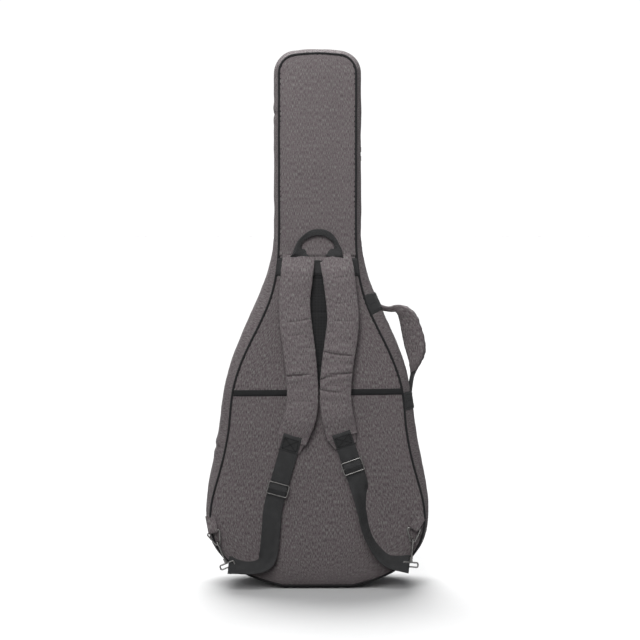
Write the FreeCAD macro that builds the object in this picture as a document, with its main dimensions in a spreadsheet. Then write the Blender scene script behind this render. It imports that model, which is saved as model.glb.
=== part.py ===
import FreeCAD, Part
import os
from math import atan2, cos, degrees, radians, sin

import Sketcher

# Padded gig bag for an acoustic guitar, standing on its tail. +Z is up and +X is to the right of
# someone who looks at the harness side, which faces -Y. The lid, with its pockets, faces +Y. The
# case half and the lid half meet at the main zip, in the plane y = 0. The origin is on the floor.

Vector = FreeCAD.Vector
doc = FreeCAD.newDocument("gig_bag")

SIZES = [
    # alias, millimetres (or degrees), what it is
    ("base_rise", 4, "height of the panels' lower edge above the floor"),
    ("base_half", 70, "half width of the flat base"),
    ("lower_bout_half", 219, "half width of a panel at the lower bout"),
    ("lower_bout_level", 147, "height of the lower bout"),
    ("upper_bout_half", 172, "half width of a panel at the upper bout"),
    ("upper_bout_level", 405, "height of the upper bout"),
    ("neck_half", 79, "half width of a panel along the neck"),
    ("neck_level", 742, "height where the neck becomes straight"),
    ("head_radius", 38, "radius of the head's corners"),
    ("head_level", 1040, "height of the centres of the head's corners"),
    ("head_crown_angle", 8, "slope of the head's top at its corners, degrees"),
    ("neck_bulge", 9, "how far the gusset stands out past the piping at the neck"),
    ("waist_bulge", 19, "the same at the waist"),
    ("bout_bulge", 7, "the same at the lower bout"),
    ("case_depth", 74, "depth of the case half, from the zip to the harness face"),
    ("lid_depth_low", 82, "depth of the lid half at the tail"),
    ("lid_depth_high", 44, "depth of the lid half at the head"),
    ("cover_thickness", 2, "thickness of the outer cloth with its backing"),
    ("foam_thickness", 12, "thickness of the foam"),
    ("lining_thickness", 1.5, "thickness of the lining"),
    ("piping_size", 4, "thickness of the piping"),
    ("web_width", 38, "width of the webbing"),
    ("web_thickness", 2.2, "thickness of the webbing"),
    ("pad_width", 64, "width of a shoulder pad"),
    ("pad_thickness", 16, "thickness of a shoulder pad"),
    ("pad_mesh_thickness", 2.5, "thickness of the mesh under a shoulder pad"),
    ("pad_mesh_margin", 4, "how far the mesh stays in from each edge of the pad"),
    ("pad_stand_off", 8, "gap from the harness face to a shoulder pad"),
    ("harness_top", 672, "height of the seam that holds the shoulder straps"),
    ("yoke_height", 40, "height of the webbing across the shoulders"),
    ("slip_pocket_level", 405, "height of the slip pocket's mouth"),
    ("binding_height", 12, "height of the binding on the slip pocket's mouth"),
    ("mesh_pad_width", 96, "width of the mesh pad on the back"),
    ("mesh_pad_low", 408, "height of the mesh pad's lower end, above the slip pocket's mouth"),
    ("mesh_pad_thickness", 5, "thickness of the mesh pad"),
    ("front_pocket_low", 40, "height of the accessory pocket's lower edge"),
    ("front_pocket_inset", 16, "how far the accessory pocket stays in from the piping"),
    ("front_pocket_taper", 8, "how much more its front face stays in"),
    ("front_pocket_depth", 24, "how far the accessory pocket stands out"),
    ("front_pocket_top", 472, "height of the accessory pocket's upper edge"),
    ("neck_pocket_depth", 16, "how far the neck pocket stands out"),
    ("neck_pocket_width", 112, "width of the neck pocket"),
    ("neck_pocket_corner", 14, "radius of the neck pocket's corners"),
    ("neck_pocket_low", 640, "height of the neck pocket's lower edge"),
    ("neck_pocket_high", 960, "height of the neck pocket's upper edge"),
    ("pull_length", 30, "length of a zip pull"),
    ("pull_width", 8, "width of a zip pull"),
    ("pull_thickness", 1.8, "thickness of a zip pull"),
    ("slider_length", 17, "length of a zip slider"),
    ("slider_width", 13, "width of a zip slider"),
    ("slider_plate", 1.6, "thickness of a zip slider's plate"),
    ("slider_level", 880, "height where the two main sliders meet"),
    ("wire_radius", 1.6, "radius of the wire in the rings and snap hooks"),
    ("triglide_width", 46, "width of a strap adjuster"),
    ("triglide_height", 28, "height of a strap adjuster"),
    ("triglide_thickness", 2.4, "thickness of a strap adjuster"),
    ("triglide_slot", 7.5, "height of each slot in a strap adjuster"),
    ("cradle_inset", 22, "how far the neck cradle stays in from the piping"),
    ("cradle_depth", 38, "how far the neck cradle stands up from the lining"),
    ("cradle_groove", 31, "radius of the groove for the neck"),
    ("cradle_level", 800, "height of the neck cradle"),
    ("cradle_height", 70, "length of the neck cradle along the neck"),
    ("bumper_thickness", 14, "thickness of the tail bumper"),
    ("handle_reach", 46, "how far the side handle stands out from its seam line"),
]

sheet = doc.addObject("Spreadsheet::Sheet", "Sizes")
for row, (alias, value, note) in enumerate(SIZES, 1):
    sheet.set("A%d" % row, alias)
    sheet.set("B%d" % row, str(value))
    sheet.set("C%d" % row, note)
    sheet.setAlias("B%d" % row, alias)
doc.recompute()


def size(alias):
    """A driving dimension, read from the sheet."""
    return float(sheet.get(alias))


cover = size("cover_thickness")
foam = size("foam_thickness")
lining = size("lining_thickness")
wall = cover + foam + lining
harness_face = -size("case_depth")
subparts = []


# ---------------------------------------------------------------- the document's building blocks

def add_shape(label, shape):
    """A sub-part whose shape is worked out here from the sheet's sizes."""
    feature = doc.addObject("Part::Feature", label)
    feature.Label = label
    feature.Shape = shape
    feature.Placement = shape.Placement
    subparts.append(feature)
    return feature


def add_box(name, length, width, height, corner):
    """A Part::Box whose three sizes are expressions on the sheet."""
    box = doc.addObject("Part::Box", name)
    box.setExpression("Length", length)
    box.setExpression("Width", width)
    box.setExpression("Height", height)
    box.Placement = FreeCAD.Placement(corner, FreeCAD.Rotation())
    return box


def origin_plane(body, role):
    """One of a body's own origin planes."""
    return [item for item in body.Origin.OriginFeatures if item.Role == role][0]


def add_rectangle(sketch, width, height, low):
    """A rectangle centred on the sketch's vertical axis, with its lower edge at low."""
    first = sketch.GeometryCount
    corners = [Vector(-5, 0, 0), Vector(5, 0, 0), Vector(5, 10, 0), Vector(-5, 10, 0)]
    for index in range(4):
        sketch.addGeometry(Part.LineSegment(corners[index], corners[(index + 1) % 4]), False)
    for index in range(4):
        following = first + (index + 1) % 4
        sketch.addConstraint(Sketcher.Constraint("Coincident", first + index, 2, following, 1))
    sketch.addConstraint(Sketcher.Constraint("Horizontal", first + 2))
    sketch.addConstraint(Sketcher.Constraint("Vertical", first + 1))
    sketch.addConstraint(Sketcher.Constraint("Vertical", first + 3))
    sketch.addConstraint(Sketcher.Constraint("Symmetric", first, 1, first, 2, -2))
    across = sketch.addConstraint(Sketcher.Constraint("DistanceX", first, 1, first, 2, 10.0))
    upright = sketch.addConstraint(Sketcher.Constraint("DistanceY", first + 1, 1, first + 1, 2, 10.0))
    sketch.setExpression("Constraints[%d]" % across, width)
    sketch.setExpression("Constraints[%d]" % upright, height)
    lower = sketch.addConstraint(Sketcher.Constraint("DistanceY", -1, 1, first, 1, 1.0))
    sketch.setExpression("Constraints[%d]" % lower, low)


def add_plate(label, width, height, thickness, placement, low="0", slots=()):
    """A flat plate, a PartDesign body that grows towards -Y, with rectangular slots through it.

    Each slot is (width, height, low), all of them expressions on the sheet.
    """
    body = doc.addObject("PartDesign::Body", label)
    body.Label = label
    sketch = body.newObject("Sketcher::SketchObject", label + "_outline")
    sketch.AttachmentSupport = [(origin_plane(body, "XZ_Plane"), "")]
    sketch.MapMode = "FlatFace"
    add_rectangle(sketch, width, height, low)
    pad = body.newObject("PartDesign::Pad", label + "_pad")
    pad.Profile = sketch
    pad.setExpression("Length", thickness)
    doc.recompute()
    for number, (slot_width, slot_height, slot_low) in enumerate(slots):
        before = body.Shape.Volume
        slot_sketch = body.newObject("Sketcher::SketchObject", "%s_slot_%d" % (label, number))
        slot_sketch.AttachmentSupport = [(origin_plane(body, "XZ_Plane"), "")]
        slot_sketch.MapMode = "FlatFace"
        add_rectangle(slot_sketch, slot_width, slot_height, slot_low)
        pocket = body.newObject("PartDesign::Pocket", "%s_pocket_%d" % (label, number))
        pocket.Profile = slot_sketch
        pocket.Type = "ThroughAll"
        pocket.Midplane = True
        doc.recompute()
        if body.Shape.Volume >= before:
            raise RuntimeError(label + ": a slot cuts nothing")
    body.Placement = placement
    subparts.append(body)
    return body


# ---------------------------------------------------------------- the bag's outline

# Right-hand stations of a panel's edge, from the base to the neck: x, z, and how far the gusset
# stands out past the edge there. The head is a straight neck, two corner arcs and a crown.
STATIONS = [
    (size("base_half"), size("base_rise"), size("base_rise")),
    (160, 37, 4),
    (205, 84, 5),
    (size("lower_bout_half"), size("lower_bout_level"), size("bout_bulge")),
    (202, 229, 16),
    (181, 326, size("waist_bulge")),
    (size("upper_bout_half"), size("upper_bout_level"), 17),
    (143, 488, 21),
    (98, 585, 22),
    (81, 670, 12),
    (size("neck_half"), size("neck_level"), size("neck_bulge")),
]
head_centre = size("neck_half") - size("head_radius")
crown_angle = radians(size("head_crown_angle"))
crown_radius = head_centre / sin(crown_angle) + size("head_radius")
crown_centre = size("head_level") + (size("head_radius") - crown_radius) * cos(crown_angle)
bag_top = crown_centre + crown_radius


def spline_through(points):
    """A smooth curve through the points."""
    curve = Part.BSplineCurve()
    curve.interpolate(Points=points)
    return curve


def station_normals():
    """The direction out of the bag, across its edge, at each station."""
    edge = spline_through([Vector(x, 0, z) for x, z, bulge in STATIONS])
    normals = []
    for x, z, bulge in STATIONS:
        along = edge.tangent(edge.parameter(Vector(x, 0, z)))[0]
        normals.append((along.z, -along.x))
    normals[0] = (0, -1)
    normals[-1] = (1, 0)
    return normals


NORMALS = station_normals()


def outline(offset, share, low, high=None):
    """The bag's outline as a closed wire, moved out by offset and by a share of the bulge.

    low and high are its y at the floor and at the top: a plane that leans when they differ.
    """
    lean = 0 if high is None else (high - low) / bag_top
    head_growth = offset + share * size("neck_bulge")
    rounding = size("head_radius") + head_growth
    square = radians(90)
    middle = (square + crown_angle) / 2

    def at(x, z):
        return Vector(x, low + lean * z, z)

    def corner(angle, side):
        return at(side * (head_centre + rounding * sin(angle)), size("head_level") + rounding * cos(angle))

    grown = [(x + (offset + share * bulge) * across, z + (offset + share * bulge) * up)
             for (x, z, bulge), (across, up) in zip(STATIONS, NORMALS)]
    right = [at(x, z) for x, z in grown]
    left = [at(-x, z) for x, z in reversed(grown)]
    edges = [
        Part.LineSegment(left[-1], right[0]),
        spline_through(right),
        Part.LineSegment(right[-1], corner(square, 1)),
        Part.Arc(corner(square, 1), corner(middle, 1), corner(crown_angle, 1)),
        Part.Arc(corner(crown_angle, 1), at(0, bag_top + head_growth), corner(crown_angle, -1)),
        Part.Arc(corner(crown_angle, -1), corner(middle, -1), corner(square, -1)),
        Part.LineSegment(corner(square, -1), left[0]),
        spline_through(left),
    ]
    return Part.Wire([edge.toShape() for edge in edges])


def layer(*sections):
    """A solid between outlines, each given as (offset, share, low, high)."""
    return Part.makeLoft([outline(*section) for section in sections], True, True)


def band(outer, thickness):
    """The wall between the sections and the same sections moved in by the thickness."""
    inner = [(offset - thickness, share, low, high) for offset, share, low, high in outer]
    return layer(*outer).cut(layer(*inner))


def straight_band(section, thickness, depth):
    """The wall inside one section, of the given thickness, that runs along Y for the depth."""
    offset, share, low, high = section
    rims = [outline(*section), outline(offset - thickness, share, low, high)]
    return Part.makeFace(rims, "Part::FaceMakerBullseye").extrude(Vector(0, depth, 0))


def slab(low_z, high_z, low_x=-400, high_x=400):
    """A block that reaches right through the bag between two heights."""
    return Part.makeBox(high_x - low_x, 400, high_z - low_z, Vector(low_x, -200, low_z))


# ---------------------------------------------------------------- case half

ZIP_EDGE = 12          # from the parting plane to the gusset's free edge
VALLEY = 0.5           # share of the bulge at the zip, which lies in a valley
TAPE_SINK = 2.6        # how far the zip tape lies below that valley's lip
SPINE_LOW = 290        # the main zip starts and ends at these two seams on the left
SPINE_HIGH = 960
FULLNESS = 26          # from a panel's face to where the case half's gusset is at its fullest
LID_FULLNESS = 21      # the same on the lid half


def rear(offset, share, back):
    """A section of the case half, at a distance back from the parting plane."""
    return (offset, share, -back, -back)


def make_case():
    depth = size("case_depth")
    piping = size("piping_size")
    inside = depth - wall
    add_shape("rear_panel_cover", layer(rear(-piping, 0, depth), rear(-piping, 0, depth - cover)))
    add_shape("rear_panel_foam",
              layer(rear(-piping, 0, depth - cover), rear(-piping, 0, depth - cover - foam)))
    add_shape("rear_panel_lining",
              layer(rear(-piping, 0, depth - cover - foam), rear(-piping, 0, inside)))
    add_shape("rear_piping", straight_band(rear(0, 0, depth + 2), piping - 0.1, 4))
    add_shape("rear_gusset_cover",
              band([rear(0, 0, depth - 2), rear(0, 1, depth - FULLNESS), rear(0, 1, ZIP_EDGE + 10),
                    rear(-0.5, VALLEY, ZIP_EDGE)], cover))
    cavity = layer(rear(-cover - foam, 0, inside), rear(-cover - foam, 0, 1))
    outside = layer(rear(-cover - 0.2, 0.5, inside), rear(-cover - 0.2, 1, depth - FULLNESS),
                    rear(-cover - 0.2, 1, ZIP_EDGE + 10), rear(-4, VALLEY, ZIP_EDGE + 2), rear(-4, VALLEY, 1))
    add_shape("rear_gusset_foam", outside.cut(cavity))
    add_shape("rear_gusset_lining",
              straight_band(rear(-cover - foam, 0, inside), lining, inside - 1))


# ---------------------------------------------------------------- lid half

def front(offset, share, fore):
    """A section of the lid half, at a distance forward of the parting plane."""
    return (offset, share, fore, fore)


def face(offset, share, behind):
    """A section of the lid half, at a distance behind its leaning face."""
    return (offset, share, size("lid_depth_low") - behind, size("lid_depth_high") - behind)


def make_lid():
    piping = size("piping_size")
    add_shape("front_panel_cover", layer(face(-piping, 0, 0), face(-piping, 0, cover)))
    add_shape("front_panel_foam", layer(face(-piping, 0, cover), face(-piping, 0, cover + foam)))
    add_shape("front_panel_lining", layer(face(-piping, 0, cover + foam), face(-piping, 0, wall)))
    add_shape("front_piping", straight_band(face(0, 0, 2), piping - 0.1, 4))
    add_shape("lid_gusset_cover",
              band([face(0, 0, 2), face(0, 1, LID_FULLNESS), front(0, 1, ZIP_EDGE + 8),
                    front(-0.5, VALLEY, ZIP_EDGE)], cover))
    cavity = layer(face(-cover - foam, 0, wall), front(-cover - foam, 0, 1))
    outside = layer(face(-cover - 0.2, 0.6, wall), face(-cover - 0.2, 1, LID_FULLNESS),
                    front(-cover - 0.2, 1, ZIP_EDGE + 8), front(-4, VALLEY, ZIP_EDGE + 2),
                    front(-4, VALLEY, 1))
    add_shape("lid_gusset_foam", outside.cut(cavity))
    add_shape("lid_gusset_lining",
              band([face(-cover - foam, 0, wall), front(-cover - foam, 0, 1)], lining))


# ---------------------------------------------------------------- main zip

def make_main_zip():
    """Tape and coil of each half, open on the left between the two seams, and the spine there."""
    spine = slab(SPINE_LOW, SPINE_HIGH, high_x=0)
    for section, way, half in ((rear, -1, "rear"), (front, 1, "lid")):
        tape = straight_band(section(-TAPE_SINK, VALLEY, 0.4), 1, way * (ZIP_EDGE + 1.6))
        add_shape(half + "_zip_tape", tape.cut(spine))
        chain = straight_band(section(-0.3, VALLEY, 0.25), 2.2, way * 3.15)
        add_shape(half + "_zip_chain", chain.cut(spine))
    fold = straight_band(rear(-0.5, VALLEY, ZIP_EDGE - 0.2), cover, ZIP_EDGE - 0.5)
    add_shape("spine_panel", fold.common(slab(SPINE_LOW + 0.3, SPINE_HIGH - 0.3, high_x=0)))


# ---------------------------------------------------------------- straps and webbing

def ribbon(centre, width, near, far):
    """A flat band along a curve in the XZ plane, between two y values.

    centre is the list of (x, z) points that its middle passes through.
    """
    middle = spline_through([Vector(x, 0, z) for x, z in centre])
    left, right = [], []
    for x, z in centre:
        along = middle.tangent(middle.parameter(Vector(x, 0, z)))[0]
        across = Vector(-along.z, 0, along.x) * (width / 2)
        left.append(Vector(x, near, z) + across)
        right.append(Vector(x, near, z) - across)
    edges = [spline_through(left).toShape(), Part.LineSegment(left[-1], right[-1]).toShape(),
             spline_through(right).toShape(), Part.LineSegment(right[0], left[0]).toShape()]
    outline_face = Part.Face(Part.Wire(Part.__sortEdges__(edges)))
    return outline_face.extrude(Vector(0, far - near, 0))


def rod(points, radius, bend):
    """A round wire along a path of straight runs whose corners are rounded to the bend radius."""
    runs = []
    start = points[0]
    for before, corner, after in zip(points, points[1:], points[2:]):
        incoming = (corner - before).normalize()
        outgoing = (after - corner).normalize()
        half_turn = incoming.getAngle(outgoing) / 2
        setback = bend * sin(half_turn) / cos(half_turn)
        enter = corner - incoming * setback
        leave = corner + outgoing * setback
        inward = (outgoing - incoming).normalize()
        middle = corner + inward * (bend / cos(half_turn) - bend)
        runs.append(Part.LineSegment(start, enter).toShape())
        runs.append(Part.Arc(enter, middle, leave).toShape())
        start = leave
    runs.append(Part.LineSegment(start, points[-1]).toShape())
    path = Part.Wire(runs)
    heading = (points[1] - points[0]).normalize()
    section = Part.Wire(Part.makeCircle(radius, points[0], heading))
    return path.makePipeShell([section], True, True)


# Each side's strap, as seen from behind: the middle of the pad, from the yoke down, the adjuster,
# the webbing's lower run, the eye of its snap hook, and the low end of the ring that the hook
# holds. The two straps lie differently.
HARNESS = {
    "left": {
        "pad": [(-38, 672), (-46, 583), (-38, 494), (-30.5, 415), (-34, 355), (-48, 300)],
        "glide": (-80, 204),
        "run": [(-99, 97), (-107, 68), (-126, 49), (-154, 46)],
        "eye": (-182, 49),
        "ring": (-200, 92),
    },
    "right": {
        "pad": [(35, 672), (47, 597), (51, 546), (45, 490), (37, 423), (39, 368), (53, 306)],
        "glide": (69, 250),
        "run": [(97, 128), (116, 86), (143, 60), (168, 53)],
        "eye": (188, 50),
        "ring": (192, 97),
    },
}
RING_HALF = 14         # half width of a ring
RING_HEIGHT = 28       # height of a ring
TAB_GAP = 6            # from a ring's wire to the sewn end of its tab
TAB_WIDTH = 16         # the tab of a ring, across and along
TAB_LENGTH = 14


def make_strap(side, places):
    """The pad, its mesh underside, the webbing and the hardware of one shoulder strap."""
    back = harness_face - size("pad_stand_off")
    outer = back - size("pad_thickness")
    mesh = size("pad_mesh_thickness")
    pad_path = places["pad"]
    add_shape(side + "_shoulder_pad", ribbon(pad_path, size("pad_width"), back - mesh, outer))
    mesh_width = size("pad_width") - 2 * size("pad_mesh_margin")
    add_shape(side + "_pad_mesh", ribbon(pad_path, mesh_width, back, back - mesh))
    web = size("web_thickness")
    web_front = back - mesh - 1
    end_x, end_z = pad_path[-1]
    glide_x, glide_z = places["glide"]
    heading = Vector(glide_x - end_x, 0, glide_z - end_z).normalize()
    start = Vector(end_x, 0, end_z) + heading * 5
    # the tab that carries the webbing is sewn on the pad's end
    tab = ribbon([(end_x - heading.x * 16, end_z - heading.z * 16), (end_x, end_z)],
                 size("web_width"), outer - web, outer)
    add_shape(side + "_webbing_tab", tab)
    straight = [(start.x, start.z), (glide_x, glide_z), (glide_x + heading.x * 42, glide_z + heading.z * 42)]
    add_shape(side + "_lower_webbing",
              ribbon(straight + places["run"], size("web_width"), web_front, web_front - web))
    glide_turn = FreeCAD.Rotation(Vector(0, 1, 0), degrees(atan2(heading.x, heading.z)) + 180)
    slot = "Sizes.triglide_slot"
    glide_face = web_front - web - 0.5
    add_plate(side + "_triglide", "Sizes.triglide_width", "Sizes.triglide_height",
              "Sizes.triglide_thickness",
              FreeCAD.Placement(Vector(glide_x, glide_face, glide_z), glide_turn),
              low="-Sizes.triglide_height / 2",
              slots=[("Sizes.triglide_width - 6", slot, "1.7"),
                     ("Sizes.triglide_width - 6", slot, "-1.7 - Sizes.triglide_slot")])
    make_hook(side, places, web_front)
    make_ring(side, places, web_front)


def hook_line(places, level):
    """The eye, the ring's low end and the direction from one to the other, at the level y."""
    eye = Vector(places["eye"][0], level, places["eye"][1])
    target = Vector(places["ring"][0], level, places["ring"][1])
    return eye, target, (target - eye).normalize()


def make_ring(side, places, level):
    """A triangular wire ring: its flat side is up, in the tab, and its narrow end is down."""
    eye, target, along = hook_line(places, level)
    across = Vector(along.z, 0, -along.x)

    def at(up, sideways):
        return target + along * up + across * sideways

    path = [at(RING_HEIGHT, 0), at(RING_HEIGHT, RING_HALF), at(0, 4), at(0, -4),
            at(RING_HEIGHT, -RING_HALF), at(RING_HEIGHT, 0)]
    add_shape(side + "_ring", rod(path, size("wire_radius"), 3))


def make_hook(side, places, level):
    """A swivel snap hook: an eye that holds the webbing, the hook on its swivel, and the gate.

    The eye lies flat like the webbing. The hook stands edge on to it, as the ring needs.
    """
    wire = size("wire_radius")
    eye, target, along = hook_line(places, level)
    across = Vector(along.z, 0, -along.x)
    outward = Vector(0, -1, 0)
    half_web = size("web_width") / 2 - 4

    def flat(forward, sideways):
        return eye + along * forward + across * sideways

    def upright(forward, rise):
        return eye + along * forward + outward * rise

    frame = rod([flat(5, 0), flat(5, half_web), flat(-4, half_web), flat(-4, -half_web),
                 flat(5, -half_web), flat(5, 0)], wire, 3)
    collar = Part.makeCylinder(3.6, 4, flat(6, 0), along)
    add_shape(side + "_snap_eye", frame.fuse(collar).removeSplitter())
    swivel = Part.makeCylinder(3.6, 5, flat(10.4, 0), along)
    bight = (target - eye).Length + 5.5
    jaw = bight - 9
    hook = rod([upright(15, 0), upright(19, 0), upright(22, -5.5), upright(bight, -5.5),
                upright(bight, 5), upright(jaw, 5)], wire, 2.6)
    add_shape(side + "_snap_hook", swivel.fuse(hook).removeSplitter())
    add_shape(side + "_snap_gate", Part.makeCylinder(1.3, jaw - 1 - 17.5, upright(17.5, 5), along))


def make_harness():
    for side, places in HARNESS.items():
        make_strap(side, places)
    web = size("web_thickness")
    face_back = harness_face - 0.2
    add_plate("yoke_webbing", "2 * Sizes.neck_half - 10", "Sizes.yoke_height", "Sizes.web_thickness",
              FreeCAD.Placement(Vector(0, face_back, size("harness_top") - size("yoke_height")),
                                FreeCAD.Rotation()))
    add_plate("mesh_back_pad", "Sizes.mesh_pad_width",
              "Sizes.harness_top - Sizes.yoke_height - Sizes.mesh_pad_low - 1",
              "Sizes.mesh_pad_thickness",
              FreeCAD.Placement(Vector(0, face_back, size("mesh_pad_low")), FreeCAD.Rotation()))
    tabs = []
    for places in HARNESS.values():
        eye, target, along = hook_line(places, 0)
        top = target + along * (RING_HEIGHT + size("wire_radius") + TAB_GAP)
        tab = Part.makeBox(TAB_WIDTH, 2 * web, TAB_LENGTH,
                           Vector(top.x - TAB_WIDTH / 2, face_back - 2 - 2 * web, top.z))
        tab.rotate(top, Vector(0, 1, 0), degrees(atan2(along.x, along.z)))
        tabs.append(tab)
    add_shape("ring_tabs", Part.makeCompound(tabs))


# ---------------------------------------------------------------- slip pocket on the harness side

def make_slip_pocket():
    """A flat sleeve over the lower bout, open along its bound upper edge."""
    face_back = size("case_depth") + 0.2
    piping = size("piping_size")
    mouth = size("slip_pocket_level") - size("binding_height")
    sheet_shape = layer(rear(-piping - 0.5, 0, face_back + 1.4), rear(-piping - 0.5, 0, face_back))
    add_shape("slip_pocket_panel", sheet_shape.common(slab(0, mouth)))
    edge = layer(rear(-piping - 0.5, 0, face_back + 2.6), rear(-piping - 0.5, 0, face_back))
    add_shape("slip_pocket_binding", edge.common(slab(mouth + 0.1, size("slip_pocket_level"))))


# ---------------------------------------------------------------- handles

GRAB_FOOT = 36         # half distance between the middles of the haul loop's feet
GRAB_RISE = 52         # height of the haul loop above its seam


def make_haul_handle():
    """A folded webbing loop that lies up against the panel above the yoke."""
    seam = size("harness_top") + 5
    near = harness_face - 2.8
    loop = ribbon([(-GRAB_FOOT, seam), (-GRAB_FOOT * 0.9, seam + 18), (-GRAB_FOOT * 0.55, seam + 40),
                   (0, seam + GRAB_RISE - 6), (GRAB_FOOT * 0.55, seam + 40), (GRAB_FOOT * 0.9, seam + 18),
                   (GRAB_FOOT, seam)], 12, near, near - 6)
    add_shape("haul_handle", loop)


SIDE_SEAMS = ((130, 578), (197, 389))   # x and z of the side handle's two seams, on the right gusset
SIDE_LEVEL = -44                        # y of the middle of the side handle


SIDE_WEB = (18, 2.4)       # width and thickness of the side handle's webbing
SEAM_GAP = 5               # from a patch to the end of the webbing, so that the handle can fold
GRIP = (36, 22)            # width and thickness of the padded grip
PATCH = (34, 30, 1.6)      # width, height and thickness of a patch


def make_side_handle():
    """A padded grip on a webbing strap that bows out from two patches on the gusset."""
    (x_top, z_top), (x_low, z_low) = SIDE_SEAMS
    chord = Vector(x_low - x_top, 0, z_low - z_top)
    out = Vector(-chord.z, 0, chord.x).normalize()
    start = Vector(x_top, 0, z_top)
    reach = size("handle_reach")

    def at(share, height):
        point = start + chord * share + out * height
        return (point.x, point.z)

    def band(path):
        return ribbon(path, SIDE_WEB[1], SIDE_LEVEL - SIDE_WEB[0] / 2, SIDE_LEVEL + SIDE_WEB[0] / 2)

    strap = band([at(0.012, SEAM_GAP), at(0.06, reach * 0.5), at(0.16, reach * 0.78)])
    lower = band([at(0.84, reach * 0.62), at(0.93, reach * 0.38), at(0.988, SEAM_GAP)])
    core = band([at(0.17, reach * 0.8), at(0.35, reach), at(0.6, reach), at(0.83, reach * 0.64)])
    grip_block = ribbon([at(0.175, reach * 0.81), at(0.35, reach), at(0.6, reach), at(0.82, reach * 0.66)],
                        GRIP[1], SIDE_LEVEL - GRIP[0] / 2, SIDE_LEVEL + GRIP[0] / 2)
    webbing = strap.fuse([core, lower]).removeSplitter()
    add_shape("side_handle_grip", grip_block.cut(core))
    add_shape("side_handle_webbing", Part.makeCompound(webbing.Solids))
    patches = []
    for (x, z), lean in ((SIDE_SEAMS[0], 16), (SIDE_SEAMS[1], 10)):
        wide, high, thick = PATCH
        patch = Part.makeBox(thick, wide, high, Vector(x - 2.1, SIDE_LEVEL - wide / 2, z - high / 2))
        patch.rotate(Vector(x, 0, z), Vector(0, 1, 0), -lean)
        patches.append(patch)
    add_shape("side_handle_patches", Part.makeCompound(patches))


# ---------------------------------------------------------------- lid pockets

lid_lean = degrees(atan2(size("lid_depth_low") - size("lid_depth_high"), bag_top))
leaning = FreeCAD.Rotation(Vector(1, 0, 0), lid_lean)


def lid_face(z):
    """The y of the lid's outer face at a height."""
    fall = size("lid_depth_low") - size("lid_depth_high")
    return size("lid_depth_low") - fall * z / bag_top


def on_lid(x, z, lift):
    """A placement on the lid's leaning face, lifted clear of it by a distance."""
    foot = Vector(x, lid_face(z), z)
    return FreeCAD.Placement(foot + leaning.multVec(Vector(0, lift, 0)), leaning)


def make_front_pocket():
    depth = size("front_pocket_depth")
    top = size("front_pocket_top")
    low = size("front_pocket_low")
    foot = -size("front_pocket_inset")
    front = foot - size("front_pocket_taper")
    outer = layer(face(foot, 0, -0.3), face(foot, 0, -depth * 0.6), face(front, 0, -depth))
    inner = layer(face(foot - cover, 0, -0.3), face(foot - cover, 0, -depth * 0.6),
                  face(front - cover, 0, cover - depth))
    shell = outer.common(slab(low, top)).cut(inner.common(slab(low + cover, top - cover)))
    add_shape("front_pocket", shell)


def make_neck_pocket():
    low, high = size("neck_pocket_low"), size("neck_pocket_high")
    half, depth = size("neck_pocket_width") / 2, size("neck_pocket_depth")
    height = high - low
    outer = Part.makeBox(2 * half, depth, height, Vector(-half, 0, 0))
    inner = Part.makeBox(2 * (half - cover), depth - cover, height - 2 * cover,
                         Vector(cover - half, 0, cover))
    upright = [edge for edge in outer.Edges if abs(edge.Length - depth) < 0.1]
    shell = outer.makeFillet(size("neck_pocket_corner"), upright).cut(inner)
    shell.Placement = on_lid(0, low, 0.3)
    add_shape("neck_pocket", shell)


# ---------------------------------------------------------------- zips of the pockets

FRONT_ZIP_LEVEL = 436      # height of the accessory pocket's zip
FRONT_ZIP_HALF = 118       # half its length
NECK_ZIP_SPAN = (672, 930) # heights of the neck pocket's zip


POCKET_TAPE = (24, 1)      # width and thickness of a pocket zip's tape
POCKET_COIL = (5, 1.6)     # width and thickness of its coil
COIL_END = 3               # from the end of the tape to the coil's end


def make_pocket_zip(label, length, placement):
    """A straight zip: a tape with the coil along its middle, along its own X axis."""
    tape_width, tape_depth = POCKET_TAPE
    coil_width, coil_depth = POCKET_COIL
    tape = Part.makeBox(length, tape_depth, tape_width, Vector(-length / 2, 0, -tape_width / 2))
    coil = Part.makeBox(length - 2 * COIL_END, coil_depth, coil_width,
                        Vector(COIL_END - length / 2, tape_depth, -coil_width / 2))
    shape = tape.fuse(coil).removeSplitter()
    shape.Placement = placement
    add_shape(label, shape)


COIL_RISE = POCKET_TAPE[1] + POCKET_COIL[1]
PULL_PIVOT = 2.9           # from a slider's plate to the pull's pivot
PULL_BAR = 3.25            # from the pull's own origin back to its pivot bar


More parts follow.
